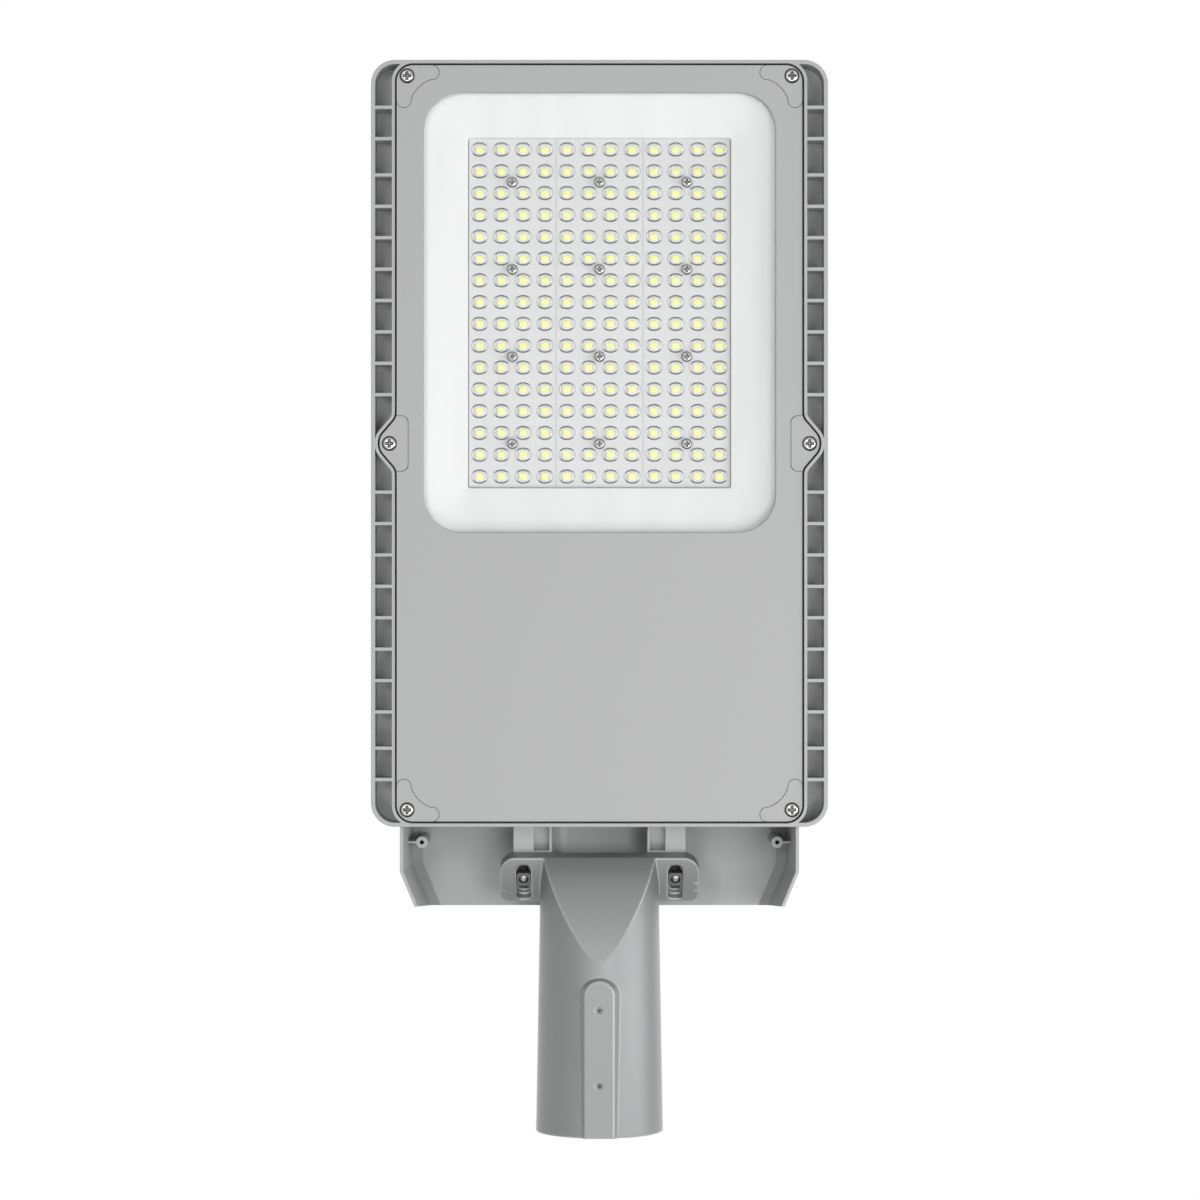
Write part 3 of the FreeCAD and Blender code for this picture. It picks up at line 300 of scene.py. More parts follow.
def lens_surface(strip, sizes):
    """Clear plate of one strip. Each cell's front is a paraboloid cap, x = a sin f cos t, y = b sin f sin t,
    z = face - h cos^2 f, joined to the square round it; its back is a domed pocket in the same square.
    Walls close the plate only at the outside of the array, so neighbouring plates meet without a line."""
    low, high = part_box("led_board_" + strip)
    back = low.z - LENS_SEAT
    face = low.z - LENS_FACE
    turns = np.arange(LENS_STEPS) * math.tau / LENS_STEPS
    dome = np.stack(
        [
            sizes.half_x * np.outer(np.sin(LENS_TILTS), np.cos(turns)),
            sizes.half_y * np.outer(np.sin(LENS_TILTS), np.sin(turns)),
            np.repeat(face - sizes.height * np.cos(LENS_TILTS)[:, None] ** 2, LENS_STEPS, axis=1),
        ],
        axis=-1,
    )
    edge = square_ring(turns, sizes.pitch / 2)
    square = np.dstack([edge[None, :, 0], edge[None, :, 1], np.full((1, LENS_STEPS), face)])
    front = np.concatenate([dome, square]).reshape(-1, 3)
    circle = sizes.pocket_radius * np.stack([np.cos(turns), np.sin(turns)], axis=-1)
    levels = [(circle * math.sin(f), back - sizes.pocket_depth * math.cos(f)) for f in POCKET_TILTS]
    levels.append((edge, back))
    rear = np.concatenate([np.column_stack([flat, np.full(LENS_STEPS, z)]) for flat, z in levels])
    front_quads = grid_quads(len(LENS_TILTS) + 1, LENS_STEPS, closed=True)
    rear_quads = grid_quads(len(levels), LENS_STEPS, closed=True)[:, ::-1]
    centres = led_centres(strip, sizes.pitch)
    points_a, quads_a = tiled(front, front_quads, centres)
    points_b, quads_b = tiled(rear, rear_quads, centres)
    ring_a = np.arange(LENS_STEPS) + len(LENS_TILTS) * LENS_STEPS
    ring_b = np.arange(LENS_STEPS) + (len(levels) - 1) * LENS_STEPS
    start_a = np.arange(len(centres))[:, None] * len(front)
    start_b = np.arange(len(centres))[:, None] * len(rear) + len(points_a)
    next_a = np.roll(ring_a, -1)
    next_b = np.roll(ring_b, -1)
    corners = [start_a + ring_a, start_a + next_a, start_b + next_b, start_b + ring_b]
    wall = np.stack(corners, axis=-1).reshape(-1, 4)
    points = np.concatenate([points_a, points_b])
    ends = points[wall]
    away_x = np.abs(ends[..., 0])
    away_y = np.abs(ends[..., 1] - (low.y + high.y) / 2)
    side_x = len(STRIPS) * LENS_ROWS / 2 * sizes.pitch - 1e-6
    side_y = LENS_COLUMNS / 2 * sizes.pitch - 1e-6
    outside = (away_x > side_x).all(axis=1) | (away_y > side_y).all(axis=1)
    return points, np.concatenate([quads_a, quads_b + len(points_a), wall[outside][:, ::-1]])


def capped_rings(rings):
    """One closed surface from a stack of rings of equal length, with both ends drawn in to a point."""
    first = np.repeat(rings[0].mean(axis=0, keepdims=True), len(rings[0]), axis=0)
    last = np.repeat(rings[-1].mean(axis=0, keepdims=True), len(rings[-1]), axis=0)
    stack = np.concatenate([[first], rings, [last]])
    return stack.reshape(-1, 3), grid_quads(len(stack), len(rings[0]), closed=True)


def phosphor_cap(radius, squash, seat, rise):
    """Shallow cap: an ellipse whose height falls as the cosine from the middle to the rim."""
    turns = np.arange(LED_STEPS) * math.tau / LED_STEPS
    rings = [
        np.column_stack(
            [
                radius * math.sin(f) * np.cos(turns),
                squash * radius * math.sin(f) * np.sin(turns),
                np.full(LED_STEPS, seat - rise * math.cos(f)),
            ]
        )
        for f in CAP_TILTS
    ]
    rings.append(rings[-1] + [0, 0, rise])
    return capped_rings(np.array(rings))


def led_package(width, seat, thickness, radius):
    """Square package with a round recess: square rings outside, then a ring, then the recess floor."""
    turns = np.arange(LED_STEPS) * math.tau / LED_STEPS
    circle = radius * np.column_stack([np.cos(turns), np.sin(turns)])
    front = seat - thickness
    levels = [
        (square_ring(turns, width / 2), seat),
        (square_ring(turns, width / 2), front + 1.2 * LED_BEVEL),
        (square_ring(turns, width / 2 - LED_BEVEL), front),
        (1.08 * circle, front),
        (circle, front + 1.5 * LED_BEVEL),
    ]
    rings = np.array([np.column_stack([flat, np.full(LED_STEPS, z)]) for flat, z in levels])
    return capped_rings(rings)


def screw_head(radius, height, shank_radius, length, steps=48):
    """Pan head and shank about z = 0, head towards -Z. The face is height * sqrt(1 - (r/R)^4), less a
    cross whose two arms have sloping sides and ends. The third array is painted shade for each point: dark
    in the cross, and on the outer rim where it turns down, most at the two sides along y; the shank is 0.3."""
    turns = np.arange(steps) * math.tau / steps
    inner = np.linspace(0.03, 0.62, 13)
    outer = np.linspace(0.68, 0.9, 5)
    shares = np.concatenate([inner, outer, [0.95, 0.98, 0.995, 1.0]])[:, None]
    x = radius * shares * np.cos(turns)
    y = radius * shares * np.sin(turns)
    crown = height * np.sqrt(np.clip(1.0 - shares**4, 0.0, 1.0))
    arm_length = 0.62 * radius
    arm_width = 0.15 * radius
    slope = 0.14 * radius
    recess = 0.62 * height

    def arm(u, v):
        along = np.clip((arm_length - np.abs(u)) / slope, 0, 1)
        across = np.clip((arm_width + slope / 2 - np.abs(v)) / slope, 0, 1)
        return along * across

    cross = np.maximum(arm(x, y), arm(y, x))
    head = np.stack([x, y, recess * cross - crown], axis=-1)
    circle = shank_radius * np.column_stack([np.cos(turns), np.sin(turns)])
    shank = [np.column_stack([circle, np.full(steps, z)]) for z in (0.0, length)]
    # painted shade: darkens the outer rim, most at the two sides along y, and the cross
    edge = np.clip((shares - 0.72) / 0.15, 0.0, 1.0) * (0.5 + 0.5 * np.abs(np.sin(turns)))
    face = (1.0 - 0.7 * cross) * (1.0 - 0.85 * edge)
    shade = np.concatenate([face[:1], face, np.full((3, steps), 0.3)]).ravel()
    return *capped_rings(np.concatenate([head, shank])), shade


# ---- finishes


def put(tree, kind, inputs=None, **settings):
    """One node with its settings; each input is given a value or another node's output."""
    node = tree.nodes.new(kind)
    for key, value in settings.items():
        setattr(node, key, value)
    for key, value in (inputs or {}).items():
        if isinstance(value, bpy.types.NodeSocket):
            tree.links.new(value, node.inputs[key])
        else:
            node.inputs[key].default_value = value
    return node


def calc(tree, operation, *values):
    return put(tree, "ShaderNodeMath", dict(enumerate(values)), operation=operation).outputs[0]


def spread(tree, value, low, high):
    """Carries a value from 0..1 to low..high."""
    return put(tree, "ShaderNodeMapRange", {"Value": value, "To Min": low, "To Max": high}).outputs["Result"]


def scaled(tree, colour, amount):
    """A colour times a number or another colour."""
    inputs = {0: colour, 1: amount}
    return put(tree, "ShaderNodeVectorMath", inputs, operation="MULTIPLY").outputs[0]


def wavering(tree, value, middle, amount):
    """The middle, give or take half the amount as the value goes from 0 to 1."""
    return calc(tree, "MULTIPLY_ADD", calc(tree, "SUBTRACT", value, 0.5), amount, middle)


def noise(tree, vector, scale, detail=2.0, roughness=0.5):
    inputs = {"Vector": vector, "Scale": scale, "Detail": detail, "Roughness": roughness}
    return put(tree, "ShaderNodeTexNoise", inputs).outputs["Fac"]


def new_group(name, inputs, outputs):
    tree = bpy.data.node_groups.new(name, "ShaderNodeTree")
    for label, kind, default in inputs:
        socket = tree.interface.new_socket(name=label, in_out="INPUT", socket_type=kind)
        if default is not None:
            socket.default_value = default
    for label, kind in outputs:
        tree.interface.new_socket(name=label, in_out="OUTPUT", socket_type=kind)
    return tree, put(tree, "NodeGroupInput").outputs, put(tree, "NodeGroupOutput").inputs


def powder_coat_group():
    """Fine orange-peel grain with a slow unevenness in tone and gloss."""
    inputs = [
        ("Place", "NodeSocketVector", None),
        ("Colour", "NodeSocketColor", WHITE),
        ("Grain scale", "NodeSocketFloat", 900.0),
        ("Gloss", "NodeSocketFloat", 0.45),
        ("Unevenness", "NodeSocketFloat", 0.04),
    ]
    outputs = [("Colour", "NodeSocketColor"), ("Roughness", "NodeSocketFloat"), ("Height", "NodeSocketFloat")]
    tree, given, made = new_group("Powder coat", inputs, outputs)
    fine = noise(tree, given["Place"], given["Grain scale"], 3.0, 0.55)
    slow = noise(tree, given["Place"], 14.0, 2.0)
    speck = wavering(tree, fine, wavering(tree, slow, 1.0, given["Unevenness"]), 0.05)
    tree.links.new(scaled(tree, given["Colour"], speck), made["Colour"])
    tree.links.new(wavering(tree, slow, given["Gloss"], 0.12), made["Roughness"])
    tree.links.new(fine, made["Height"])
    return tree


def moulded_group():
    """Moulded plastic and rubber: faint flow marks and a little grain."""
    inputs = [
        ("Place", "NodeSocketVector", None),
        ("Colour", "NodeSocketColor", WHITE),
        ("Grain scale", "NodeSocketFloat", 1500.0),
        ("Gloss", "NodeSocketFloat", 0.5),
    ]
    outputs = [("Colour", "NodeSocketColor"), ("Roughness", "NodeSocketFloat"), ("Height", "NodeSocketFloat")]
    tree, given, made = new_group("Moulded surface", inputs, outputs)
    grain = noise(tree, given["Place"], given["Grain scale"], 2.0)
    marks = {"Vector": given["Place"], "Scale": 9.0, "Distortion": 6.0, "Detail": 2.0}
    flow = put(tree, "ShaderNodeTexWave", marks).outputs["Fac"]
    tree.links.new(scaled(tree, given["Colour"], spread(tree, flow, 0.985, 1.015)), made["Colour"])
    tree.links.new(wavering(tree, grain, given["Gloss"], 0.15), made["Roughness"])
    tree.links.new(grain, made["Height"])
    return tree


def machined_group():
    """Drawn and turned steel: fine streaks along one way over a faint stain."""
    inputs = [
        ("Place", "NodeSocketVector", None),
        ("Colour", "NodeSocketColor", WHITE),
        ("Gloss", "NodeSocketFloat", 0.3),
    ]
    outputs = [("Colour", "NodeSocketColor"), ("Roughness", "NodeSocketFloat"), ("Height", "NodeSocketFloat")]
    tree, given, made = new_group("Machined steel", inputs, outputs)
    stretch = {"Vector": given["Place"], "Scale": (400.0, 9000.0, 9000.0)}
    drawn = put(tree, "ShaderNodeMapping", stretch).outputs[0]
    streak = noise(tree, drawn, 1.0, 2.0)
    stain = noise(tree, given["Place"], 300.0, 3.0)
    tree.links.new(scaled(tree, given["Colour"], spread(tree, stain, 0.9, 1.06)), made["Colour"])
    tree.links.new(wavering(tree, streak, given["Gloss"], 0.25), made["Roughness"])
    tree.links.new(streak, made["Height"])
    return tree


def lens_cell_group():
    """Place in the nearest lens: its elliptical radius, 1 on the dome's rim, and the lengthways share."""
    inputs = [
        ("Place", "NodeSocketVector", None),
        ("Middle Y", "NodeSocketFloat", 0.0),
        ("Pitch", "NodeSocketFloat", 13.0 * MM),
        ("Half X", "NodeSocketFloat", 5.0 * MM),
        ("Half Y", "NodeSocketFloat", 4.0 * MM),
    ]
    outputs = [("Radius", "NodeSocketFloat"), ("Lengthways", "NodeSocketFloat")]
    tree, given, made = new_group("Lens cell", inputs, outputs)
    parts = put(tree, "ShaderNodeSeparateXYZ", {0: given["Place"]}).outputs
    along = calc(tree, "SUBTRACT", parts["Y"], given["Middle Y"])
    squares = []
    for place, half in ((parts["X"], "Half X"), (along, "Half Y")):
        cell = calc(tree, "SUBTRACT", calc(tree, "FRACT", calc(tree, "DIVIDE", place, given["Pitch"])), 0.5)
        share = calc(tree, "DIVIDE", calc(tree, "MULTIPLY", cell, given["Pitch"]), given[half])
        squares.append(calc(tree, "MULTIPLY", share, share))
    total = calc(tree, "ADD", *squares)
    tree.links.new(calc(tree, "SQRT", total), made["Radius"])
    tree.links.new(calc(tree, "DIVIDE", squares[1], calc(tree, "MAXIMUM", total, 1e-4)), made["Lengthways"])
    return tree


def lens_cell(tree, place, half_x, half_y):
    low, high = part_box("led_board_middle")
    inputs = {"Place": place, "Middle Y": (low.y + high.y) / 2, "Half X": half_x, "Half Y": half_y}
    return put(tree, "ShaderNodeGroup", node_tree=bpy.data.node_groups["Lens cell"], inputs=inputs).outputs


def step_up(tree, value, low, high):
    """Rises smoothly from 0 at low to 1 at high."""
    inputs = {"Value": value, "From Min": low, "From Max": high}
    return put(tree, "ShaderNodeMapRange", inputs, interpolation_type="SMOOTHSTEP").outputs["Result"]


def new_material(name):
    material = bpy.data.materials.new(name)
    material.use_nodes = True
    material.node_tree.nodes.clear()
    return material, material.node_tree


def surface_material(name, group, given, bump, principled, edge=0.0, rim=0.0, mask=None):
    """Opaque finish: a shared group for tone, gloss and grain, over edges rounded in shading. A rim paints a
    highlight on the rounded edges, and a mask names the attribute of painted shade for hollows and rims."""
    material, tree = new_material(name)
    place = put(tree, "ShaderNodeTexCoord").outputs["Object"]
    look = put(tree, "ShaderNodeGroup", node_tree=bpy.data.node_groups[group])
    tree.links.new(place, look.inputs["Place"])
    for key, value in given.items():
        look.inputs[key].default_value = value
    grain = {"Strength": 1.0, "Distance": bump, "Height": look.outputs["Height"]}
    relief = put(tree, "ShaderNodeBump", grain)
    if edge:
        rounded = put(tree, "ShaderNodeBevel", {"Radius": edge}, samples=6)
        tree.links.new(rounded.outputs[0], relief.inputs["Normal"])
    colour = look.outputs["Colour"]
    if mask:
        # painted shade: the colour is darkened by the named point attribute
        shade = put(tree, "ShaderNodeAttribute", attribute_name=mask).outputs["Fac"]
        colour = scaled(tree, colour, shade)
    # painted highlight: the rim lightens the colour where the rounded normal turns away from the true normal,
    # along edges
    if rim:
        true = put(tree, "ShaderNodeNewGeometry").outputs["True Normal"]
        both = {0: rounded.outputs[0], 1: true}
        near = put(tree, "ShaderNodeVectorMath", both, operation="DOT_PRODUCT").outputs["Value"]
        turned = calc(tree, "SUBTRACT", 1.0, calc(tree, "ABSOLUTE", near))
        colour = scaled(tree, colour, spread(tree, step_up(tree, turned, 0.005, 0.1), 1.0, 1.0 + rim))
    shader = put(
        tree,
        "ShaderNodeBsdfPrincipled",
        {
            "Base Color": colour,
            "Roughness": look.outputs["Roughness"],
            "Normal": relief.outputs[0],
            **principled,
        },
    )
    put(tree, "ShaderNodeOutputMaterial", {"Surface": shader.outputs[0]})
    return material


def coated(name, colour, gloss, metallic, edge, rim=0.0):
    """Powder coat with a little metal flake, over a casting."""
    given = {"Colour": (*colour, 1.0), "Grain scale": 1100.0, "Gloss": gloss, "Unevenness": 0.05}
    principled = {"Specular IOR Level": 0.35, "Metallic": metallic}
    return surface_material(name, "Powder coat", given, 0.05 * MM, principled, edge=edge, rim=rim)


def steel(name, colour, gloss, edge, mask=None):
    given = {"Colour": (*colour, 1.0), "Gloss": gloss}
    return surface_material(name, "Machined steel", given, 0.01 * MM, {"Metallic": 1.0}, edge=edge, mask=mask)


def moulded(name, colour, gloss, grain, edge=0.0):
    given = {"Colour": (*colour, 1.0), "Gloss": gloss}
    return surface_material(name, "Moulded surface", given, grain, {}, edge=edge)


def clear_material(name, colour, roughness, ior, rim=None):
    """Clear solid with faint unevenness; it lets light through to what is behind it. A rim of half_x, half_y
    and front draws the dark line in which a dome's steep foot turns the light away."""
    material, tree = new_material(name)
    place = put(tree, "ShaderNodeTexCoord").outputs["Object"]
    ripple = noise(tree, place, 60.0, 1.0)
    relief = put(tree, "ShaderNodeBump", {"Strength": 0.05, "Distance": 0.02 * MM, "Height": ripple})
    tint = colour
    if rim:
        half_x, half_y, front = rim
        cell = lens_cell(tree, place, half_x, half_y)
        inner = step_up(tree, cell["Radius"], *RING_INNER)
        outer = step_up(tree, cell["Radius"], *RING_OUTER)
        band = calc(tree, "SUBTRACT", inner, outer)
        depth = put(tree, "ShaderNodeSeparateXYZ", {0: place}).outputs["Z"]
        band = calc(tree, "MULTIPLY", band, calc(tree, "LESS_THAN", depth, front))
        fade = spread(tree, step_up(tree, cell["Lengthways"], 0.1, 0.6), 0.35, 1.0)
        band = calc(tree, "MULTIPLY", band, fade)
        tint = scaled(tree, colour[:3], calc(tree, "MULTIPLY_ADD", band, -RING_DEPTH, 1.0))
    shader = put(
        tree,
        "ShaderNodeBsdfPrincipled",
        {
            "Base Color": tint,
            "Roughness": roughness,
            "IOR": ior,
            "Transmission Weight": 1.0,
            "Normal": relief.outputs[0],
        },
    )
    through = put(tree, "ShaderNodeBsdfTransparent", {"Color": colour})
    path = put(tree, "ShaderNodeLightPath")
    hidden = calc(tree, "MAXIMUM", path.outputs["Is Shadow Ray"], path.outputs["Is Diffuse Ray"])
    mixed = put(tree, "ShaderNodeMixShader", {0: hidden, 1: shader.outputs[0], 2: through.outputs[0]})
    put(tree, "ShaderNodeOutputMaterial", {"Surface": mixed.outputs[0]})
    return material


def board_material(colour):
    """White solder mask: copper areas show as faintly raised fields between grooves on the lens pitch."""
    material, tree = new_material("led board mask")
    place = put(tree, "ShaderNodeTexCoord").outputs["Object"]
    brick = put(
        tree,
        "ShaderNodeTexBrick",
        {
            "Vector": place,
            "Scale": 1.0,
            "Mortar Size": 0.35 * MM,
            "Brick Width": 13.0 * MM,
            "Row Height": 6.5 * MM,
            "Color1": (*colour, 1.0),
            "Color2": (*[c * 0.985 for c in colour], 1.0),
            "Mortar": (*[c * 0.97 for c in colour], 1.0),
        },
    )
    raised = {"Strength": 0.4, "Distance": 0.05 * MM, "Height": brick.outputs["Fac"]}
    relief = put(tree, "ShaderNodeBump", raised, invert=True)
    shader = put(
        tree,
        "ShaderNodeBsdfPrincipled",
        {"Base Color": brick.outputs["Color"], "Roughness": 0.4, "Normal": relief.outputs[0]},
    )
    put(tree, "ShaderNodeOutputMaterial", {"Surface": shader.outputs[0]})
    return material


def phosphor_material(colour, pale, radius, squash):
    """Yellow cap, paler towards its edge, with a fine grain and a soft gloss."""
    material, tree = new_material("led phosphor")
    place = put(tree, "ShaderNodeTexCoord").outputs["Object"]
    grain = noise(tree, place, 4000.0, 2.0)
    cell = lens_cell(tree, place, radius, radius * squash)
    outer = step_up(tree, cell["Radius"], 0.6, 1.0)
    both = {0: outer, 6: (*colour, 1.0), 7: (*pale, 1.0)}
    mixed = put(tree, "ShaderNodeMix", both, data_type="RGBA").outputs[2]
    tone = scaled(tree, mixed, spread(tree, grain, 0.96, 1.03))
    shader = put(tree, "ShaderNodeBsdfPrincipled", {"Base Color": tone, "Roughness": 0.35})
    put(tree, "ShaderNodeOutputMaterial", {"Surface": shader.outputs[0]})
    return material


FINISHES = {
    "housing_paint": ["housing"],
    "adapter_paint": ["spigot_adapter"],
    "cover_paint": [
        "cover_plate", "corner_clamp_front_left", "corner_clamp_front_right",
        "corner_clamp_rear_left", "corner_clamp_rear_right", "side_clamp_left", "side_clamp_right",
    ],
    "steel": [
        "cover_screws", "lens_screws", "driver_screws", "earth_screw",
        "tilt_washer_left", "tilt_washer_right",
    ],
    "bolt_steel": ["tilt_bolt_left", "tilt_bolt_right"],
    "dark_steel": ["tilt_nut_left", "tilt_nut_right", "set_screw_upper", "set_screw_lower"],
    "seal": ["cover_gasket"],
    "white_seal": ["glass_gasket"],
    "glass": ["window_glass"],
    "lens": ["lens_plate_left", "lens_plate_middle", "lens_plate_right"],
    "white_frame": ["reflector_frame"],
    "board": ["led_board_left", "led_board_middle", "led_board_right"],
    "emitter": ["leds_left", "leds_middle", "leds_right"],
    "driver_case": ["driver"],
    "terminal_plastic": ["terminal_block"],
    "black_plastic": ["cable_gland", "surge_protector"],
    "cable_jacket": ["input_lead", "led_leads"],
}


def finish(name):
    return bpy.data.materials[name]


# ---- operators


class STREETLIGHT_OT_finishes(bpy.types.Operator):
    """Makes the finishes and gives them to the pieces from the CAD model"""

    bl_idname = "streetlight.finishes"
    bl_label = "Finishes"

    def execute(self, context):
        colours = context.scene.street_light_colours
        sizes = context.scene.street_light_lenses
        powder_coat_group()
        moulded_group()
        machined_group()
        lens_cell_group()
        lens_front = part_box("led_board_middle")[0].z - 3.0 * MM
        rim = (sizes.half_x, sizes.half_y, lens_front)
        made = {
            "housing_paint": coated("housing powder coat", colours.housing, 0.5, 0.12, 0.5 * MM),
            # the adapter's rim paints a strong highlight on its rounded edges
            "adapter_paint": coated("adapter powder coat", colours.adapter, 0.48, 0.45, 2.0 * MM, rim=1.0),
            "cover_paint": surface_material(
                "cover paint", "Powder coat",
                {"Colour": (*colours.cover, 1.0), "Grain scale": 1400.0, "Gloss": 0.5, "Unevenness": 0.03},
                0.03 * MM, {"Specular IOR Level": 0.45}, edge=0.3 * MM,
            ),
            # the frame's rim paints a faint highlight on its rounded edges, on the LED packages too
            "white_frame": surface_material(
                "white frame", "Moulded surface",
                {"Colour": (*colours.frame, 1.0), "Grain scale": 900.0, "Gloss": 0.55},
                0.02 * MM, {}, edge=0.8 * MM, rim=0.12,
            ),
            "steel": steel("machined steel", colours.steel, 0.3, 0.15 * MM),
            # screw steel is darkened by the screws' painted shade attribute
            "screw_steel": steel("screw steel", colours.screw, 0.3, 0.1 * MM, mask="shade"),
            "bolt_steel": steel("bolt steel", [c * 0.7 for c in colours.steel], 0.4, 0.15 * MM),
            "dark_steel": steel("dark steel", colours.dark_steel, 0.42, 0.15 * MM),
            "seal": moulded("silicone seal", (0.03, 0.03, 0.03), 0.6, 0.03 * MM),
            "white_seal": moulded("white seal", (0.7, 0.7, 0.7), 0.6, 0.03 * MM),
            "driver_case": moulded("driver case", (0.62, 0.62, 0.61), 0.5, 0.02 * MM, 0.6 * MM),
            "terminal_plastic": moulded("terminal block", (0.6, 0.6, 0.57), 0.5, 0.02 * MM, 0.4 * MM),
            "black_plastic": moulded("black nylon", (0.03, 0.03, 0.03), 0.45, 0.02 * MM, 0.4 * MM),
            "cable_jacket": moulded("cable jacket", (0.025, 0.025, 0.025), 0.55, 0.03 * MM),
            "glass": clear_material("window glass", (0.99, 0.995, 0.992, 1.0), 0.0, 1.5),
            "lens": clear_material("clear lens plastic", (0.985, 0.985, 0.985, 1.0), 0.02, 1.2, rim=rim),
            "board": board_material(colours.board),
            "emitter": phosphor_material(
                colours.phosphor, colours.board, sizes.phosphor_radius, sizes.phosphor_squash
            ),
        }
        for slot, nodes in FINISHES.items():
            for node in nodes:
                materials = frame["nodes"][node].data.materials
                materials.clear()
                materials.append(made[slot])
        return {"FINISHED"}


class STREETLIGHT_OT_lenses(bpy.types.Operator):
    """Builds the three lens plates with their domes and pockets"""

    bl_idname = "streetlight.lenses"
    bl_label = "Lens plates"

    def execute(self, context):
        sizes = context.scene.street_light_lenses
        for strip in STRIPS:
            points, quads = lens_surface(strip, sizes)
            plastic = finish("clear lens plastic")
            made = piece("lenses_" + strip, points, quads, "head", plastic, merge=0.002 * MM, sharp=30.0)
            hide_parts("lens_plate_" + strip)
        return {"FINISHED"}


class STREETLIGHT_OT_leds(bpy.types.Operator):
    """Builds the LED packages and their yellow caps"""

    bl_idname = "streetlight.leds"
    bl_label = "LEDs"

    def execute(self, context):
        sizes = context.scene.street_light_lenses
        for strip in STRIPS:
            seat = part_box("led_board_" + strip)[0].z
            centres = led_centres(strip, sizes.pitch)
            package = led_package(sizes.led_width, seat, LED_THICKNESS, sizes.phosphor_radius)
            points, quads = tiled(*package, centres)
            white = finish("white frame")
            body = piece("led_packages_" + strip, points, quads, "head", white, merge=0.001 * MM)
            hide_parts("leds_" + strip)
            cap_seat = seat - LED_THICKNESS + CAP_SEAT
            cap = phosphor_cap(sizes.phosphor_radius * 0.98, sizes.phosphor_squash, cap_seat, CAP_RISE)
            points, quads = tiled(*cap, centres)
            yellow = finish("led phosphor")
            cap = piece("led_phosphor_" + strip, points, quads, "head", yellow, merge=0.001 * MM)
        return {"FINISHED"}


class STREETLIGHT_OT_screws(bpy.types.Operator):
    """Builds the cross-recessed cover and lens screws"""

    bl_idname = "streetlight.screws"
    bl_label = "Screws"

    def execute(self, context):
        low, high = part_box("cover_plate")
        seat = low.z + COVER_SCREW_SEAT
        corner = -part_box("corner_clamp_front_left")[0].x - CLAMP_SCREW_INSET
        side = high.x - SIDE_SCREW_INSET
        middle = sum(p.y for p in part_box("side_clamp_left")) / 2
        ends = (low.y + REAR_SCREW_INSET, high.y - FRONT_SCREW_INSET)
        places = [(s * corner, y, seat) for s in (-1, 1) for y in ends]
        places += [(s * side, middle, seat) for s in (-1, 1)]
        self.set_of("cover_screw", screw_head(4.25 * MM, 2.4 * MM, 2.4 * MM, 15.0 * MM), places)
        low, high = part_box("led_board_middle")
        middle = (low.y + high.y) / 2
        rows = [middle + (k - 1.5) * LENS_SCREW_SPACING for k in range(4)]
        columns = [k * LENS_SCREW_SPACING for k in (-1, 0, 1)]
        places = [(x, y, low.z - LENS_SCREW_SEAT) for x in columns for y in rows]
        self.set_of("lens_screw", screw_head(3.2 * MM, 2.2 * MM, 1.5 * MM, 9.4 * MM, steps=32), places)
        return {"FINISHED"}

    def set_of(self, name, shape, places):
        """Like screws at their places, as one piece that stands for the CAD node."""
        points, quads, shade = shape
        made = piece(
            name + "_set", *tiled(points, quads, np.array(places)), "head", finish("screw steel"),
            merge=0.001 * MM, shade=np.tile(shade, len(places)),
        )
        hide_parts(name + "s")


def area_light(name, power, size, place, target):
    lamp = bpy.data.lights.new(name, "AREA")
    lamp.energy = power
    lamp.shape = "RECTANGLE"
    lamp.size, lamp.size_y = size
    made = bpy.data.objects.new(name, lamp)
    bpy.context.scene.collection.objects.link(made)
    made.location = place
    made.rotation_euler = (Vector(target) - Vector(place)).to_track_quat("-Z", "Y").to_euler()
    return made


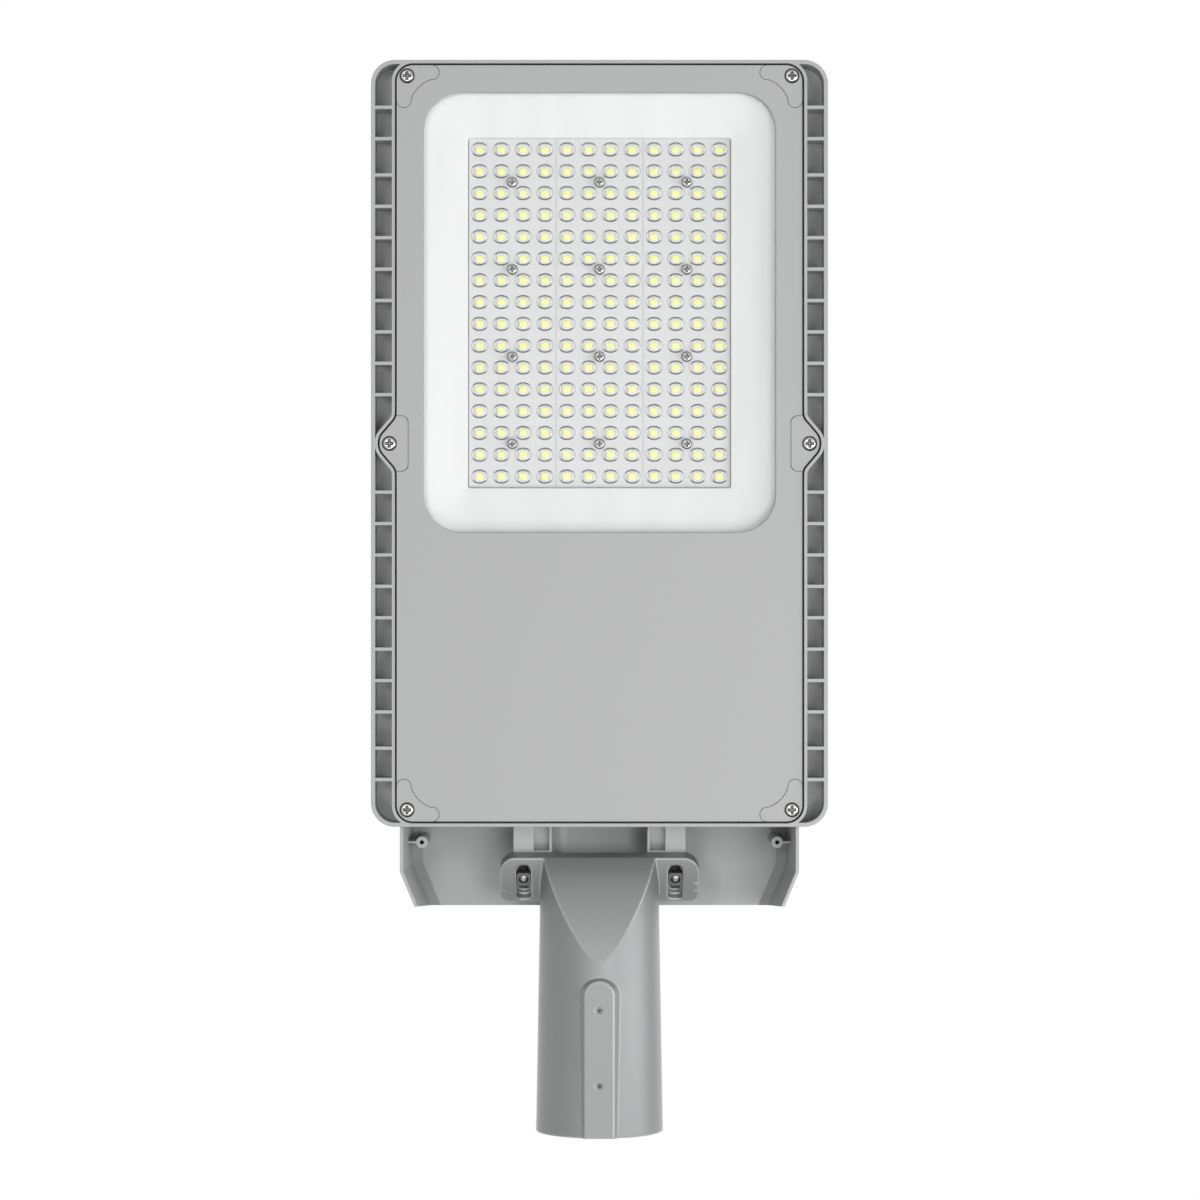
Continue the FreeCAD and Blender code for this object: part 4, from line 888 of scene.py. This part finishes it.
class STREETLIGHT_OT_stage(bpy.types.Operator):
    """Sets the floor, the white surroundings, the lamps and the camera"""

    bl_idname = "streetlight.stage"
    bl_label = "Stage"

    def execute(self, context):
        studio = context.scene.street_light_studio
        scene = context.scene
        world = bpy.data.worlds.new("studio")
        world.use_nodes = True
        tree = world.node_tree
        tree.nodes.clear()
        path = put(tree, "ShaderNodeLightPath")
        seen = calc(tree, "MAXIMUM", path.outputs["Is Camera Ray"], path.outputs["Is Glossy Ray"])
        seen = calc(tree, "MAXIMUM", seen, path.outputs["Is Transmission Ray"])
        strength = spread(tree, seen, studio.ambient, 1.0)
        background = put(tree, "ShaderNodeBackground", {"Color": WHITE, "Strength": strength})
        put(tree, "ShaderNodeOutputWorld", {"Surface": background.outputs[0]})
        scene.world = world

        half = 6.0
        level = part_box("housing")[0].z - 0.3 * MM
        corners = [(x * half, y * half, level) for x, y in ((-1, -1), (1, -1), (1, 1), (-1, 1))]
        mesh = bpy.data.meshes.new("floor")
        mesh.from_pydata(corners, [], [(0, 1, 2, 3)])
        floor = bpy.data.objects.new("floor", mesh)
        scene.collection.objects.link(floor)
        material, tree = new_material("floor paper")
        path = put(tree, "ShaderNodeLightPath")
        back = put(tree, "ShaderNodeNewGeometry").outputs["Backfacing"]
        shown = calc(tree, "MULTIPLY", path.outputs["Is Camera Ray"], calc(tree, "SUBTRACT", 1.0, back))
        paper = put(tree, "ShaderNodeBsdfDiffuse", {"Color": (0.9, 0.9, 0.9, 1.0)})
        glow = put(tree, "ShaderNodeEmission", {"Color": WHITE, "Strength": studio.paper_glow})
        lit = put(tree, "ShaderNodeAddShader", {0: paper.outputs[0], 1: glow.outputs[0]})
        gone = put(tree, "ShaderNodeBsdfTransparent")
        mixed = put(tree, "ShaderNodeMixShader", {0: shown, 1: gone.outputs[0], 2: lit.outputs[0]})
        put(tree, "ShaderNodeOutputMaterial", {"Surface": mixed.outputs[0]})
        mesh.materials.append(material)

        middle = (0.0, 0.35, -0.04)
        area_light("key below", studio.key, (0.8, 0.8), (-0.7, 0.1, -2.1), middle)
        area_light("fill below", studio.fill, (0.5, 0.5), (0.6, 0.75, -2.15), middle)
        area_light("front below", studio.front, (0.6, 0.6), (0.1, -0.9, -2.1), middle)
        area_light("side below", studio.side, (0.6, 1.6), (-1.45, 0.1, -0.72), middle)
        area_light("top", studio.top, (3.0, 3.0), (-0.5, 0.0, 2.3), middle)
        area_light("far side above", studio.far_side, (2.0, 2.0), (1.25, 0.6, 1.1), middle)

        camera = bpy.data.objects.new("camera", bpy.data.cameras.new("camera"))
        scene.collection.objects.link(camera)
        camera.data.sensor_width = 36.0
        camera.data.lens = studio.lens / MM
        camera.data.clip_start = 0.05
        camera.data.clip_end = 50.0
        camera.location = (-0.3 * MM, 319.4 * MM, -40.0 * MM - studio.distance)
        camera.rotation_euler = (0.0, math.pi, 0.0)
        scene.camera = camera
        scene.view_settings.view_transform = "Standard"
        return {"FINISHED"}


class STREETLIGHT_PT_panel(bpy.types.Panel):
    """Settings and steps of the street light head"""

    bl_label = "Street light"
    bl_idname = "STREETLIGHT_PT_panel"
    bl_space_type = "VIEW_3D"
    bl_region_type = "UI"
    bl_category = "Street light"

    def draw(self, context):
        for group in SETTINGS:
            settings = getattr(context.scene, group)
            box = self.layout.box()
            for key in settings.bl_rna.properties.keys():
                if key not in ("rna_type", "name"):
                    box.prop(settings, key)
        for operator in OPERATORS:
            self.layout.operator(operator.bl_idname)


SETTINGS = {
    "street_light_lenses": StreetLightLenses,
    "street_light_colours": StreetLightColours,
    "street_light_studio": StreetLightStudio,
}
OPERATORS = (
    STREETLIGHT_OT_finishes,
    STREETLIGHT_OT_lenses,
    STREETLIGHT_OT_leds,
    STREETLIGHT_OT_screws,
    STREETLIGHT_OT_stage,
)


def register():
    for cls in (*SETTINGS.values(), *OPERATORS, STREETLIGHT_PT_panel):
        bpy.utils.register_class(cls)
    for name, cls in SETTINGS.items():
        setattr(bpy.types.Scene, name, bpy.props.PointerProperty(type=cls))


def unregister():
    for name in SETTINGS:
        delattr(bpy.types.Scene, name)
    for cls in (STREETLIGHT_PT_panel, *OPERATORS[::-1], *list(SETTINGS.values())[::-1]):
        bpy.utils.unregister_class(cls)


def main():
    register()
    for operator in (
        bpy.ops.streetlight.finishes,
        bpy.ops.streetlight.lenses,
        bpy.ops.streetlight.leds,
        bpy.ops.streetlight.screws,
        bpy.ops.streetlight.stage,
    ):
        operator()


if __name__ == "__main__":
    main()
